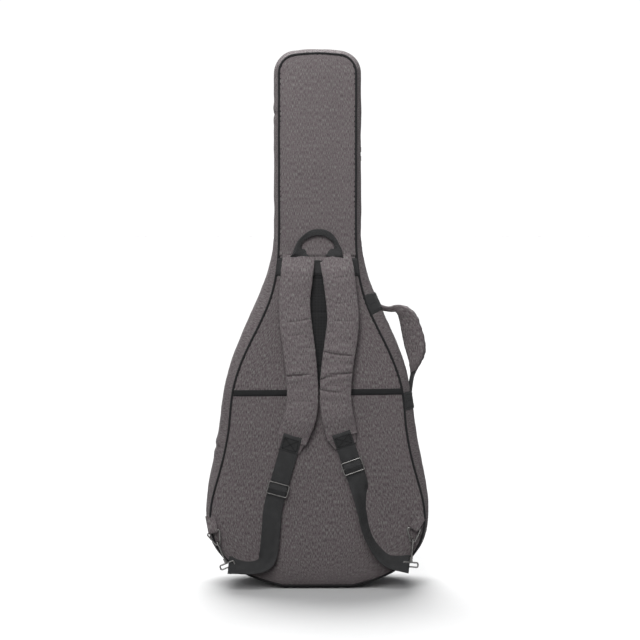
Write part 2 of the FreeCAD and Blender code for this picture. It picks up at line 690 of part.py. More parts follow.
def make_slider(label, base, travel, outward):
    """A zip slider at base: a plate that rides over the coil, a bridge, and the pull that it holds.

    travel is the way that the pull lies, along the coil, and outward is away from the bag.
    """
    turn = FreeCAD.Rotation(travel, outward, travel.cross(outward), "XYZ")
    placement = FreeCAD.Placement(base, turn)
    length, width, plate_depth = size("slider_length"), size("slider_width"), size("slider_plate")
    plate = add_box(label + "_plate", "Sizes.slider_length", "Sizes.slider_plate", "Sizes.slider_width",
                    Vector(-length / 2, 0, -width / 2))
    bridge = add_box(label + "_bridge", "Sizes.slider_length * 0.6", "4.6", "3",
                     Vector(-length * 0.3, plate_depth - 0.2, -1.5))
    window = add_box(label + "_window", "Sizes.slider_length * 0.4", "2.6", "3.4",
                     Vector(-length * 0.2, plate_depth, -1.7))
    arch = doc.addObject("Part::Cut", label + "_arch")
    arch.Base = bridge
    arch.Tool = window
    slider = doc.addObject("Part::Fuse", label)
    slider.Label = label
    slider.Base = plate
    slider.Tool = arch
    slider.Placement = placement
    doc.recompute()
    subparts.append(slider)
    # the pull's bar lies under the bridge, and its slot lets the bridge through
    pull_turn = FreeCAD.Rotation(travel.cross(outward), outward * -1, travel, "XYZ")
    foot = placement.multVec(Vector(PULL_BAR, PULL_PIVOT - size("pull_thickness") / 2, 0))
    add_plate(label.replace("slider", "pull"), "Sizes.pull_width", "Sizes.pull_length",
              "Sizes.pull_thickness", FreeCAD.Placement(foot, pull_turn),
              low="-4", slots=[("4.6", "6.75", "-2.5")])


def make_zips():
    lift = size("front_pocket_depth") + 0.3
    make_pocket_zip("front_pocket_zip", 2 * FRONT_ZIP_HALF, on_lid(0, FRONT_ZIP_LEVEL, lift))
    along_lid = leaning.multVec(Vector(0, 0, 1))
    off_lid = leaning.multVec(Vector(0, 1, 0))
    upright = FreeCAD.Rotation(along_lid * -1, off_lid, Vector(1, 0, 0), "XYZ")
    neck_lift = size("neck_pocket_depth") + 0.6
    middle = on_lid(0, sum(NECK_ZIP_SPAN) / 2, neck_lift).Base
    make_pocket_zip("neck_pocket_zip", NECK_ZIP_SPAN[1] - NECK_ZIP_SPAN[0],
                    FreeCAD.Placement(middle, upright))
    gap = 0.3
    clear = COIL_RISE + gap
    make_slider("front_pocket_slider", on_lid(FRONT_ZIP_HALF - 20, FRONT_ZIP_LEVEL, lift + clear).Base,
                Vector(1, 0, 0), off_lid)
    make_slider("neck_pocket_slider", on_lid(0, NECK_ZIP_SPAN[1] - 22, neck_lift + clear).Base,
                along_lid * -1, off_lid)
    beside = size("neck_half") + VALLEY * size("neck_bulge")
    spacing = size("slider_length") / 2 + 0.5
    for label, way in (("upper_main_slider", 1), ("lower_main_slider", -1)):
        make_slider(label, Vector(beside, 0, size("slider_level") + way * spacing),
                    Vector(0, 0, way), Vector(1, 0, 0))


# ---------------------------------------------------------------- inside the case

def make_inside():
    """The neck cradle, glued on the rear lining, and the bumper at the tail."""
    floor = harness_face + wall + 0.2
    half = size("neck_half") - size("cradle_inset")
    block = add_box("neck_cradle_block", "2 * (Sizes.neck_half - Sizes.cradle_inset)", "Sizes.cradle_depth",
                    "Sizes.cradle_height", Vector(-half, floor, size("cradle_level")))
    groove = doc.addObject("Part::Cylinder", "neck_cradle_groove")
    groove.setExpression("Radius", "Sizes.cradle_groove")
    groove.setExpression("Height", "Sizes.cradle_height + 10")
    start = Vector(0, floor + size("cradle_depth"), size("cradle_level") - 5)
    groove.Placement = FreeCAD.Placement(start, FreeCAD.Rotation())
    cradle = doc.addObject("Part::Cut", "neck_cradle")
    cradle.Label = "neck_cradle"
    cradle.Base = block
    cradle.Tool = groove
    cradle.Placement = FreeCAD.Placement()
    low = size("base_rise") + cover + foam + lining + 0.3
    bumper = add_box("tail_bumper", "2 * Sizes.base_half - 6", "Sizes.case_depth - 18",
                     "Sizes.bumper_thickness", Vector(3 - size("base_half"), floor + 0.3, low))
    doc.recompute()
    for piece in (cradle, bumper):
        piece.Label = piece.Name
        subparts.append(piece)


make_case()
make_lid()
make_main_zip()
make_harness()
make_slip_pocket()
make_haul_handle()
make_side_handle()
make_front_pocket()
make_neck_pocket()
make_zips()
make_inside()

doc.recompute()
for item in doc.Objects:
    if "Invalid" in item.State or "Error" in item.State:
        raise RuntimeError("%s failed: %s" % (item.Name, item.State))
os.makedirs("parts", exist_ok=True)
broken = [part.Label for part in subparts if part.Shape.isNull() or not part.Shape.isValid()]
if broken:
    raise RuntimeError("null or not valid: " + ", ".join(broken))
for part in subparts:
    part.Shape.exportStep("parts/%s.step" % part.Label)
print(len(subparts), "sub-parts")
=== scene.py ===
import math

import bpy
import numpy as np
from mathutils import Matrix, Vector, noise


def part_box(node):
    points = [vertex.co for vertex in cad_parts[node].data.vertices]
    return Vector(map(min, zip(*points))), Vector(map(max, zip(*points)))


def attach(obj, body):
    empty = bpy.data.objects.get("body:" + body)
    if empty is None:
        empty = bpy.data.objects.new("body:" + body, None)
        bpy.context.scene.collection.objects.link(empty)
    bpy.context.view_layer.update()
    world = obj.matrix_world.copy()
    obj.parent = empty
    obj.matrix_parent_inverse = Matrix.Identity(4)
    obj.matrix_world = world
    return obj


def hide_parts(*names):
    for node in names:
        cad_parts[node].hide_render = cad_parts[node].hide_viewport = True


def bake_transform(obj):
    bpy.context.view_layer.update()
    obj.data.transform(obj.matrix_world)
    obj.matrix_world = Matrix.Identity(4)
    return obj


# Padded gig bag that stands on its tail, harness side towards -Y. Everything is in metres, in the
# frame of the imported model. MM turns the pattern's millimetres into metres.

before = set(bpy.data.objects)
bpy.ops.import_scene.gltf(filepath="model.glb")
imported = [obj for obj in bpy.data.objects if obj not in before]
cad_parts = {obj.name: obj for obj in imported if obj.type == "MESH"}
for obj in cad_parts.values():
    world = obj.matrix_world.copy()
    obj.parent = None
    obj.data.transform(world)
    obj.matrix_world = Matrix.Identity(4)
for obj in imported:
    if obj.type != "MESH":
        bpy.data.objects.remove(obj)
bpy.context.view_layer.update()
MM = 0.001
BACKWARD = (0.0, -1.0, 0.0)      # out of the harness side
PATCH_BACK, PATCH_FRONT = -76 * MM, -27 * MM      # depths of the side patches' edges


# ---------------------------------------------------------------- camera

CAMERA_PLACE, CAMERA_TARGET = Vector((-0.02, -4.077, 0.76)), Vector((0.005, -0.077, 0.545))
VIEW_WIDTH, SENSOR_WIDTH = 1.287, 36     # metres seen across at the target, and the sensor's mm


def add_aimed(name, data, aim, place=(0, 0, 0)):
    """A camera or lamp that looks along a direction."""
    made = bpy.data.objects.new(name, data)
    made.location = place
    made.rotation_euler = Vector(aim).to_track_quat("-Z", "Y").to_euler()
    bpy.context.scene.collection.objects.link(made)
    return made


def add_camera():
    aim = CAMERA_TARGET - CAMERA_PLACE
    camera = add_aimed("camera", bpy.data.cameras.new("camera"), aim, CAMERA_PLACE)
    camera.data.sensor_width = SENSOR_WIDTH
    camera.data.lens = SENSOR_WIDTH * aim.length / VIEW_WIDTH
    bpy.context.scene.camera = camera


add_camera()


# ---------------------------------------------------------------- shader nodes

def node(tree, kind, inputs=None, **settings):
    """A shader node with its settings and its inputs, each a value or a link from a socket."""
    made = tree.nodes.new("ShaderNode" + kind)
    for key, value in settings.items():
        setattr(made, key, value)
    for key, value in (inputs or {}).items():
        if isinstance(value, bpy.types.NodeSocket):
            tree.links.new(value, made.inputs[key])
        else:
            made.inputs[key].default_value = value
    return made


def new_material(name, color, roughness, metallic=0.0, sheen=0.0):
    """A material with its shader, whose colour, roughness and normal the caller links."""
    material = bpy.data.materials.new(name)
    material.use_nodes = True
    material.diffuse_color = (*color, 1)
    tree = material.node_tree
    shader = tree.nodes["Principled BSDF"]
    shader.inputs["Base Color"].default_value = (*color, 1)
    shader.inputs["Roughness"].default_value = roughness
    shader.inputs["Metallic"].default_value = metallic
    shader.inputs["Sheen Weight"].default_value = sheen
    shader.inputs["Sheen Roughness"].default_value = 0.5
    if sheen > 0:
        shader.inputs["Specular IOR Level"].default_value = 0.22
    return material, tree, shader


def cloth_place(tree, scale=(1, 1)):
    """A piece's own cloth coordinates, in metres across and along it, times a scale."""
    source = node(tree, "UVMap", uv_map="Cloth").outputs["UV"]
    return node(tree, "Mapping", {"Vector": source, "Scale": (*scale, 1)}).outputs["Vector"]


def object_place(tree, scale):
    """Coordinates in the frame's metres times a scale, for a piece with no cloth coordinates."""
    source = node(tree, "TexCoord").outputs["Object"]
    return node(tree, "Mapping", {"Vector": source, "Scale": scale}).outputs["Vector"]


def noise_value(tree, place, detail=2.0, scale=1.0):
    return node(tree, "TexNoise", {"Vector": place, "Scale": scale, "Detail": detail}).outputs["Fac"]


def span(tree, value, low, high, start=0.0, end=1.0):
    """The value's range low to high, spread over start to end."""
    made = node(tree, "MapRange", {"Value": value, "From Min": low, "From Max": high,
                                   "To Min": start, "To Max": end})
    return made.outputs["Result"]


def math_node(tree, operation, first, second=0.0):
    made = node(tree, "Math", operation=operation)
    for socket, value in zip(made.inputs, (first, second)):
        if isinstance(value, bpy.types.NodeSocket):
            tree.links.new(value, socket)
        else:
            socket.default_value = value
    return made.outputs["Value"]


def blend_color(tree, factor, first, second):
    made = node(tree, "Mix", data_type="RGBA")
    for socket, value in zip((made.inputs[0], made.inputs[6], made.inputs[7]), (factor, first, second)):
        if isinstance(value, bpy.types.NodeSocket):
            tree.links.new(value, socket)
        else:
            socket.default_value = value if isinstance(value, float) else (*value, 1)
    return made.outputs[2]


def tinted(tree, tone, color, value, low, high, start, end):
    """The tone, mixed with a colour by start to end as the value goes from low to high."""
    return blend_color(tree, span(tree, value, low, high, start, end), tone, color)


def scaled(color, factor, offset=0.0):
    return tuple(channel * factor + offset for channel in color)


def finished(material, tree, shader, tone, roughness, height, depth, strength):
    """Link a material's colour, roughness and bump."""
    tree.links.new(tone, shader.inputs["Base Color"])
    tree.links.new(roughness, shader.inputs["Roughness"])
    bump = node(tree, "Bump", {"Height": height, "Distance": depth, "Strength": strength})
    tree.links.new(bump.outputs["Normal"], shader.inputs["Normal"])
    return material


def ridges(tree, place, direction, scale):
    """Rounded ridges, 0 to 1, one every 0.314 / scale."""
    made = node(tree, "TexWave", {"Vector": place, "Scale": scale, "Distortion": 0.6, "Detail": 0.0},
                bands_direction=direction)
    return made.outputs["Fac"]


def plain_weave(tree, place, pitch):
    """Over and under threads in both directions, 0 to 1."""
    warp = ridges(tree, place, "X", 0.314 / pitch)
    weft = ridges(tree, place, "Y", 0.314 / pitch)
    return math_node(tree, "MAXIMUM", math_node(tree, "MULTIPLY", warp, weft),
                     math_node(tree, "MULTIPLY", math_node(tree, "SUBTRACT", 1.0, warp),
                               math_node(tree, "SUBTRACT", 1.0, weft)))


# ---------------------------------------------------------------- materials

def heathered_cloth(name, color):
    """Woven polyester whose warp mixes light, dark and plain threads in short streaks."""
    material, tree, shader = new_material(name, color, 0.88, sheen=0.06)
    light = (color[0] * 1.55 + 0.02, color[1] * 1.85 + 0.035, color[2] * 1.65 + 0.025)
    dark = scaled(color, 0.42)
    warp = noise_value(tree, cloth_place(tree, (680, 140)), 3.0)
    weft = noise_value(tree, cloth_place(tree, (180, 680)), 2.0)
    slub = noise_value(tree, cloth_place(tree, (290, 42)), 2.0)
    cloud = noise_value(tree, cloth_place(tree, (9, 7)), 3.0)
    weave = plain_weave(tree, cloth_place(tree), 0.0011)
    tone = tinted(tree, color, light, warp, 0.52, 0.66, 0.0, 0.82)
    tone = tinted(tree, tone, dark, warp, 0.48, 0.35, 0.0, 0.85)
    tone = tinted(tree, tone, light, weft, 0.52, 0.75, 0.0, 0.35)
    tone = tinted(tree, tone, dark, slub, 0.58, 0.8, 0.0, 0.3)
    tone = tinted(tree, tone, dark, weave, 0.0, 0.6, 0.3, 0.0)
    tone = tinted(tree, tone, dark, cloud, 0.3, 0.7, 0.12, 0.0)
    height = math_node(tree, "ADD", weave, math_node(tree, "MULTIPLY", warp, 0.8))
    return finished(material, tree, shader, tone, span(tree, warp, 0.3, 0.7, 0.78, 0.94), height, 0.0004, 0.7)


def ribbed_webbing(name, color):
    """Woven webbing: fine cords along it, and a shallow herringbone of raised ribs across it. The ribs carry a
    painted sheen highlight.
    """
    material, tree, shader = new_material(name, color, 0.66, sheen=0.03)
    source = node(tree, "UVMap", uv_map="Cloth").outputs["UV"]
    parts = node(tree, "SeparateXYZ", {"Vector": source})
    folded = math_node(tree, "PINGPONG", parts.outputs["X"], 0.0095)
    slanted = node(tree, "CombineXYZ", {"X": math_node(tree, "ADD", folded, parts.outputs["Y"])})
    ribs = ridges(tree, slanted.outputs["Vector"], "X", 130)
    cords = ridges(tree, cloth_place(tree), "X", 240)
    wear = noise_value(tree, cloth_place(tree, (60, 40)), 4.0)
    raised = math_node(tree, "MULTIPLY", ribs, math_node(tree, "ADD", cords, 0.6))
    # The raised ribs are painted lighter than the hollows between them. This is a painted sheen highlight,
    # besides the bump.
    light = scaled(color, 3.6, 0.03)
    tone = tinted(tree, scaled(color, 0.45), light, raised, 0.1, 1.3, 0.0, 0.8)
    tone = tinted(tree, tone, light, wear, 0.45, 0.75, 0.0, 0.25)
    return finished(material, tree, shader, tone, span(tree, wear, 0.3, 0.7, 0.52, 0.72), raised, 0.0006, 0.8)


def fine_woven(name, color, pitch=0.0008):
    """Plain woven tape or thread, for bindings, piping, linings, zip tapes and stitches."""
    material, tree, shader = new_material(name, color, 0.82, sheen=0.03)
    weave = plain_weave(tree, cloth_place(tree), pitch)
    mottle = noise_value(tree, cloth_place(tree, (90, 90)), 3.0)
    light = scaled(color, 1.9, 0.01)
    tone = tinted(tree, color, light, weave, 0.0, 0.8, 0.0, 0.45)
    tone = tinted(tree, tone, light, mottle, 0.4, 0.75, 0.0, 0.25)
    return finished(material, tree, shader, tone, span(tree, mottle, 0.3, 0.7, 0.72, 0.9), weave, 0.0003, 0.6)


def air_mesh(name, color):
    """Spacer mesh: rows of small round holes in a knitted face."""
    material, tree, shader = new_material(name, color, 0.9, sheen=0.03)
    cells = node(tree, "TexVoronoi", {"Vector": cloth_place(tree), "Scale": 330.0, "Randomness": 0.12})
    holes = span(tree, cells.outputs["Distance"], 0.16, 0.42)
    knit = noise_value(tree, cloth_place(tree, (900, 900)), 2.0)
    tone = blend_color(tree, holes, scaled(color, 0.18), scaled(color, 1.7, 0.005))
    tone = tinted(tree, tone, color, knit, 0.35, 0.7, 0.5, 0.0)
    height = math_node(tree, "ADD", holes, math_node(tree, "MULTIPLY", knit, 0.3))
    return finished(material, tree, shader, tone, span(tree, knit, 0.3, 0.7, 0.8, 0.95), height, 0.0009, 0.8)


def plated_metal(name, color, roughness):
    """Nickel plate with fine scratches and duller patches."""
    material, tree, shader = new_material(name, color, roughness, metallic=1.0)
    scratches = noise_value(tree, object_place(tree, (3000, 300, 300)), 3.0)
    patches = noise_value(tree, object_place(tree, (90, 90, 90)), 4.0)
    tone = tinted(tree, color, scaled(color, 0.55), patches, 0.5, 0.75, 0.0, 0.6)
    level = math_node(tree, "ADD", span(tree, patches, 0.3, 0.7, roughness - 0.08, roughness + 0.1),
                      span(tree, scratches, 0.5, 0.8, 0.0, 0.12))
    return finished(material, tree, shader, tone, level, scratches, 0.00005, 0.4)


def moulded(name, color, roughness):
    """Moulded plastic or rubber with a fine grain."""
    material, tree, shader = new_material(name, color, roughness)
    cells = node(tree, "TexVoronoi", {"Vector": object_place(tree, (1, 1, 1)), "Scale": 900.0})
    mottle = noise_value(tree, object_place(tree, (70, 70, 70)), 4.0)
    tone = tinted(tree, color, scaled(color, 1.5, 0.01), mottle, 0.35, 0.7, 0.0, 0.4)
    level = span(tree, mottle, 0.3, 0.7, roughness - 0.08, roughness + 0.08)
    return finished(material, tree, shader, tone, level, cells.outputs["Distance"], 0.0002, 0.5)


SHELL = heathered_cloth("heathered_cloth", (0.128, 0.104, 0.111))
# The straps' cloth is the shell's cloth made lighter. This is painted light, for the light that falls on the
# straps where they stand out from the bag.
STRAP_CLOTH_PAINTED_LIGHT = heathered_cloth("strap_cloth_painted_light", (0.146, 0.119, 0.127))
WEBBING = ribbed_webbing("ribbed_webbing", (0.0135, 0.0135, 0.014))
BINDING = fine_woven("binding_tape", (0.006, 0.006, 0.0065))
THREAD = fine_woven("sewing_thread", (0.0015, 0.0015, 0.0018), 0.0005)
GREY_THREAD = fine_woven("grey_thread", (0.09, 0.08, 0.083), 0.0005)
TAPE = fine_woven("zip_tape", (0.007, 0.007, 0.0075), 0.0006)
LINING_CLOTH = fine_woven("lining_cloth", (0.03, 0.03, 0.033), 0.0012)
MESH = air_mesh("air_mesh", (0.012, 0.012, 0.0125))
DARK_NICKEL = plated_metal("dark_nickel", (0.17, 0.165, 0.16), 0.3)
NYLON = moulded("nylon_coil", (0.012, 0.012, 0.013), 0.42)
RUBBER = moulded("rubber", (0.02, 0.02, 0.02), 0.6)


# ---------------------------------------------------------------- curves and meshes

def spline(points, count):
    """Evenly spaced points on a natural cubic curve through the given ones."""
    points = np.asarray(points, float)
    last = len(points) - 1
    knots = np.concatenate([[0.0], np.cumsum(np.linalg.norm(np.diff(points, axis=0), axis=1))])
    gaps = np.diff(knots)
    rows = np.eye(last + 1)
    right = np.zeros_like(points)
    for k in range(1, last):
        rows[k, k - 1:k + 2] = gaps[k - 1], 2 * (gaps[k - 1] + gaps[k]), gaps[k]
        right[k] = 6 * ((points[k + 1] - points[k]) / gaps[k] - (points[k] - points[k - 1]) / gaps[k - 1])
    curl = np.linalg.solve(rows, right)
    at = np.linspace(0, knots[-1], max(count * 6, 200))
    piece = np.clip(np.searchsorted(knots, at, side="right") - 1, 0, last - 1)
    gap = gaps[piece][:, None]
    ahead = (at - knots[piece])[:, None] / gap
    behind = 1 - ahead
    fine = (behind * points[piece] + ahead * points[piece + 1]
            + ((behind ** 3 - behind) * curl[piece] + (ahead ** 3 - ahead) * curl[piece + 1]) * gap ** 2 / 6)
    return resample(fine, count)


def resample(points, count):
    """The same line with evenly spaced points."""
    points = np.asarray(points, float)
    run = np.concatenate([[0.0], np.cumsum(np.linalg.norm(np.diff(points, axis=0), axis=1))])
    at = np.linspace(0, run[-1], count)
    return np.stack([np.interp(at, run, column) for column in points.T], axis=1)


def unit(vectors):
    return vectors / np.maximum(np.linalg.norm(vectors, axis=-1, keepdims=True), 1e-12)


def at_depth(flat, y):
    """Points from their x and z and their depth."""
    return np.stack([flat[:, 0], np.broadcast_to(y, len(flat)), flat[:, 1]], axis=1)


def smooth_step(value, low, high):
    share = np.clip((np.asarray(value, float) - low) / (high - low), 0, 1)
    return share * share * (3 - 2 * share)


def add_mesh(name, points, faces, material, body, corners=None, smooth=True):
    """A mesh piece that rides on a body. corners holds the cloth coordinates of each face corner."""
    mesh = bpy.data.meshes.new(name)
    mesh.from_pydata(np.asarray(points).reshape(-1, 3).tolist(), [], [list(face) for face in faces])
    if corners is not None:
        layer = mesh.uv_layers.new(name="Cloth")
        layer.data.foreach_set("uv", np.asarray(corners, np.float32).ravel())
    mesh.polygons.foreach_set("use_smooth", [smooth] * len(mesh.polygons))
    mesh.materials.append(material)
    mesh.validate()
    mesh.update()
    piece = bpy.data.objects.new(name, mesh)
    bpy.context.scene.collection.objects.link(piece)
    if body:
        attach(piece, body)
    return piece


def run_lengths(points, axis, wrap):
    """Mean running length along an axis of a grid, one more value where the grid wraps."""
    if wrap:
        points = np.concatenate([points, np.take(points, [0], axis=axis)], axis=axis)
    steps = np.linalg.norm(np.diff(points, axis=axis), axis=2).mean(axis=1 - axis)
    return np.concatenate([[0.0], np.cumsum(steps)])


def grid_data(points, wrap_rows=False, wrap_columns=False, caps=False):
    """Points, faces and cloth coordinates of a grid of rows and columns."""
    rows, columns = points.shape[:2]
    row = np.arange(rows if wrap_rows else rows - 1)
    column = np.arange(columns if wrap_columns else columns - 1)
    row, column = (part.ravel() for part in np.meshgrid(row, column, indexing="ij"))
    next_row, next_column = (row + 1) % rows, (column + 1) % columns
    faces = np.stack([row * columns + column, row * columns + next_column,
                      next_row * columns + next_column, next_row * columns + column], axis=1).tolist()
    across = run_lengths(points, 1, wrap_columns)
    along = run_lengths(points, 0, wrap_rows)
    corners = np.stack([np.stack([across[column + right], along[row + up]], axis=1)
                        for right, up in ((0, 0), (1, 0), (1, 1), (0, 1))], axis=1).reshape(-1, 2)
    if caps:
        for ends, start in ((reversed(range(columns)), 0), (range(columns), (rows - 1) * columns)):
            ends = list(ends)
            faces.append([start + k for k in ends])
            place = points[start // columns, ends]
            corners = np.concatenate([corners, place[:, [0, 2]]])
    return points.reshape(-1, 3), faces, corners


def add_grid(name, points, material, body, wrap_rows=False, wrap_columns=False, caps=False):
    places, faces, corners = grid_data(points, wrap_rows, wrap_columns, caps)
    return add_mesh(name, places, faces, material, body, corners)


def sewn(name, points, material, body, slot, *stands_for, **shape):
    """A grid piece, in place of the CAD nodes that it stands for. Its slot is not used."""
    piece = add_grid(name, points, material, body, **shape)
    if stands_for:
        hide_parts(*stands_for)
    return piece


def band(name, points, material, body, slot, *stands_for):
    """A sewn piece that is closed all round, with an end face at each end."""
    return sewn(name, points, material, body, slot, *stands_for, wrap_columns=True, caps=True)


def swept(path, across, outward, section):
    """A grid of a section's points, carried along a path."""
    section = np.asarray(section, float)
    if section.ndim == 2:
        section = np.broadcast_to(section, (len(path), *section.shape))
    return (path[:, None] + across[:, None] * section[:, :, :1] + outward[:, None] * section[:, :, 1:])


def frame_along(path, outward):
    """Unit vectors across a path and out of it, from a rough outward direction."""
    heading = unit(np.gradient(path, axis=0))
    outward = np.broadcast_to(np.asarray(outward, float), path.shape)
    across = unit(np.cross(outward, heading))
    return heading, across, np.cross(heading, across)


def rounded(width, thickness, corner=0.5, count=20):
    """A closed section: a rectangle with rounded edges. corner 1 gives an ellipse."""
    angle = np.linspace(0, 2 * np.pi, count, endpoint=False)
    cosine, sine = np.cos(angle), np.sin(angle)
    return np.stack([width / 2 * np.sign(cosine) * np.abs(cosine) ** corner,
                     thickness / 2 * np.sign(sine) * np.abs(sine) ** corner], axis=1)


def disc(radius, count=10):
    return rounded(2 * radius, 2 * radius, 1.0, count)


def wobble(points, scale, amount, seed=0.0):
    """Smooth noise at each point, in metres."""
    flat = np.asarray(points).reshape(-1, 3) * scale + seed
    values = np.array([noise.noise(Vector(place)) for place in flat])
    return amount * values.reshape(np.asarray(points).shape[:-1])


def stitches(name, path, outward, body, pitch=3.2 * MM, width=0.7 * MM, material=THREAD):
    """A row of short raised stitches along a path."""
    length = np.linalg.norm(np.diff(path, axis=0), axis=1).sum()
    count = max(int(length / pitch), 1)
    outward = np.broadcast_to(np.asarray(outward, float), path.shape)
    run = resample(np.concatenate([path, outward], axis=1), 4 * count + 1)
    centres, lifts = run[2::4, :3], unit(run[2::4, 3:])
    heading = unit(np.gradient(run[:, :3], axis=0))[2::4]
    side = unit(np.cross(lifts, heading))
    half = pitch * 0.36
    shape = [(-half, 0, 0), (-half * 0.5, -width / 2, 0.25 * width), (half * 0.5, -width / 2, 0.25 * width),
             (half, 0, 0), (half * 0.5, width / 2, 0.25 * width), (-half * 0.5, width / 2, 0.25 * width),
             (-half * 0.5, 0, 0.7 * width), (half * 0.5, 0, 0.7 * width)]
    points = np.concatenate([[centre + heading[k] * a + side[k] * b + lifts[k] * c for a, b, c in shape]
                             for k, centre in enumerate(centres)])
    local = [(0, 1, 6), (1, 2, 7, 6), (2, 3, 7), (3, 4, 7), (4, 5, 6, 7), (5, 0, 6)]
    faces = [[8 * k + corner for corner in face] for k in range(len(centres)) for face in local]
    corners = [(points[corner][0], points[corner][2]) for face in faces for corner in face]
    row = add_mesh(name, points, faces, material, body, corners)
    return row


# ---------------------------------------------------------------- cloth simulation

SETTLING_FRAMES = 18
SETTLING_CAP = 4 * MM


def settled(grid, held, outside=None, wrap=True, pressure=4.0, spare=0.012):
    """A padded grid after its cloth is blown out by the filling: sewn places are held, and no point
    moves further than the cap. The seams and creases are put in afterwards. outside is the way that
    the cloth faces, if it isn't wrapped round its own middle."""
    places, faces, _ = grid_data(grid, False, wrap, wrap)
    mesh = bpy.data.meshes.new("settling")
    mesh.from_pydata([tuple(place) for place in places], [], [tuple(face) for face in faces])
    mesh.update()
    normals = np.array([tuple(polygon.normal) for polygon in mesh.polygons])
    centres = np.array([tuple(polygon.center) for polygon in mesh.polygons])
    away = centres - centres.mean(axis=0) if outside is None else np.broadcast_to(outside, centres.shape)
    if (normals * away).sum() < 0:
        mesh.flip_normals()
    piece = bpy.data.objects.new("settling", mesh)
    bpy.context.scene.collection.objects.link(piece)
    group = piece.vertex_groups.new(name="held")
    group.add(np.flatnonzero(held).tolist(), 1.0, "REPLACE")
    cloth = piece.modifiers.new("Cloth", "CLOTH")
    cloth.settings.quality = 5
    cloth.settings.mass = 0.3
    cloth.settings.bending_stiffness = 1.5
    cloth.settings.shrink_min = -spare
    cloth.settings.vertex_group_mass = "held"
    cloth.settings.use_pressure = True
    cloth.settings.uniform_pressure_force = pressure
    cloth.settings.effector_weights.gravity = 0
    cloth.collision_settings.use_collision = False
    for frame_number in range(1, SETTLING_FRAMES + 1):
        bpy.context.scene.frame_set(frame_number)
    result = piece.evaluated_get(bpy.context.evaluated_depsgraph_get()).data
    moved = np.empty(3 * len(result.vertices))
    result.vertices.foreach_get("co", moved)
    moved = moved.reshape(grid.shape) - grid
    bpy.data.objects.remove(piece)
    bpy.data.meshes.remove(mesh)
    bpy.context.scene.frame_set(1)
    length = np.linalg.norm(moved, axis=-1, keepdims=True)
    return grid + moved * (SETTLING_CAP * np.tanh(length / SETTLING_CAP) / np.maximum(length, 1e-9))


# ---------------------------------------------------------------- outline of the bag

# Right half of the panels' seam line: x, z and how far the gusset stands out past it.
STATIONS = [(70, 4, 4), (160, 37, 4), (205, 84, 5), (219, 147, 7), (202, 229, 16), (181, 326, 19),
            (172, 405, 17), (143, 488, 21), (98, 585, 22), (81, 670, 12), (79, 742, 9)]
HEAD_RADIUS, HEAD_LEVEL, CROWN_ANGLE, NECK_BULGE = 38, 1040, math.radians(8), 9
HALF_COUNT = 420
CASE_DEPTH, LID_LOW, LID_HIGH, BAG_TOP = 74 * MM, 82 * MM, 44 * MM, 1081 * MM
ZIP_EDGE = 13 * MM           # from the middle of the zip to the gusset's hem
SPINE = (290 * MM, 960 * MM)     # heights between which the left side folds instead of unzipping
YOKE_SEAM = 672 * MM
POCKET_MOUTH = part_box("slip_pocket_binding")


def half_outline():
    """x, z and bulge of the right half, from the middle of the tail to the middle of the crown."""
    side = spline(STATIONS, 700)
    turn = np.linspace(0, math.pi / 2 - CROWN_ANGLE, 60)
    neck_half = STATIONS[-1][0]
    corner = np.stack([neck_half - HEAD_RADIUS + HEAD_RADIUS * np.cos(turn),
                       HEAD_LEVEL + HEAD_RADIUS * np.sin(turn)], axis=1)
    crown_radius = corner[-1, 0] / math.sin(CROWN_ANGLE)
    crown_level = corner[-1, 1] - corner[-1, 0] / math.tan(CROWN_ANGLE)
    turn = np.linspace(math.pi / 2 - CROWN_ANGLE, math.pi / 2, 30)[1:]
    crown = np.stack([crown_radius * np.cos(turn), crown_level + crown_radius * np.sin(turn)], axis=1)
    head = np.concatenate([corner, crown])
    head = np.concatenate([head, np.full((len(head), 1), NECK_BULGE)], axis=1)
    start = [[0, STATIONS[0][1], STATIONS[0][2]]]
    return resample(np.concatenate([start, side, head]), HALF_COUNT + 1) * MM


def whole_outline():
    """The closed seam line with its outward normals, going up on the right."""
    right = half_outline()
    left = right[-2:0:-1] * (-1, 1, 1)
    loop = np.concatenate([right, left])
    heading = np.roll(loop, -2, axis=0) - np.roll(loop, 2, axis=0)
    normal = unit(np.stack([heading[:, 1], -heading[:, 0]], axis=1))
    normal = unit(sum(np.roll(normal, shift, axis=0) for shift in range(-3, 4)))
    return loop[:, :2], normal, loop[:, 2]


LINE, NORMAL, BULGE = whole_outline()


def rim(offset, share=0.0):
    """The seam line moved outwards by an offset plus a share of the gusset's bulge: x and z."""
    grown = LINE + NORMAL * (offset + share * BULGE)[:, None]
    return np.stack([grown[:, 0], np.maximum(grown[:, 1], 0.0)], axis=1)


def half_width(levels, inset):
    """Half the width of the outline, moved inwards, at each height."""
    right = rim(-inset)[:HALF_COUNT + 1]
    rising = np.maximum.accumulate(right[:, 1] + np.arange(len(right)) * 1e-9)
    return np.interp(levels, rising, right[:, 0])


def distance_to(line, x, z):
    """Distance of each point from a closed line."""
    places = np.stack([x.ravel(), z.ravel()], axis=1)
    gaps = [np.linalg.norm(block[:, None] - line[None], axis=2).min(axis=1)
            for block in np.array_split(places, max(len(places) // 2000, 1))]
    return np.concatenate(gaps).reshape(x.shape)


def case_face(z):
    return np.full_like(np.asarray(z, float), CASE_DEPTH)


def lid_face(z):
    return LID_LOW - (LID_LOW - LID_HIGH) * np.asarray(z, float) / BAG_TOP


def spread(columns):
    """Shares from -1 to 1, closer together near the ends."""
    turn = np.linspace(-1, 1, columns) * 1.35
    return np.sin(turn) / math.sin(1.35)


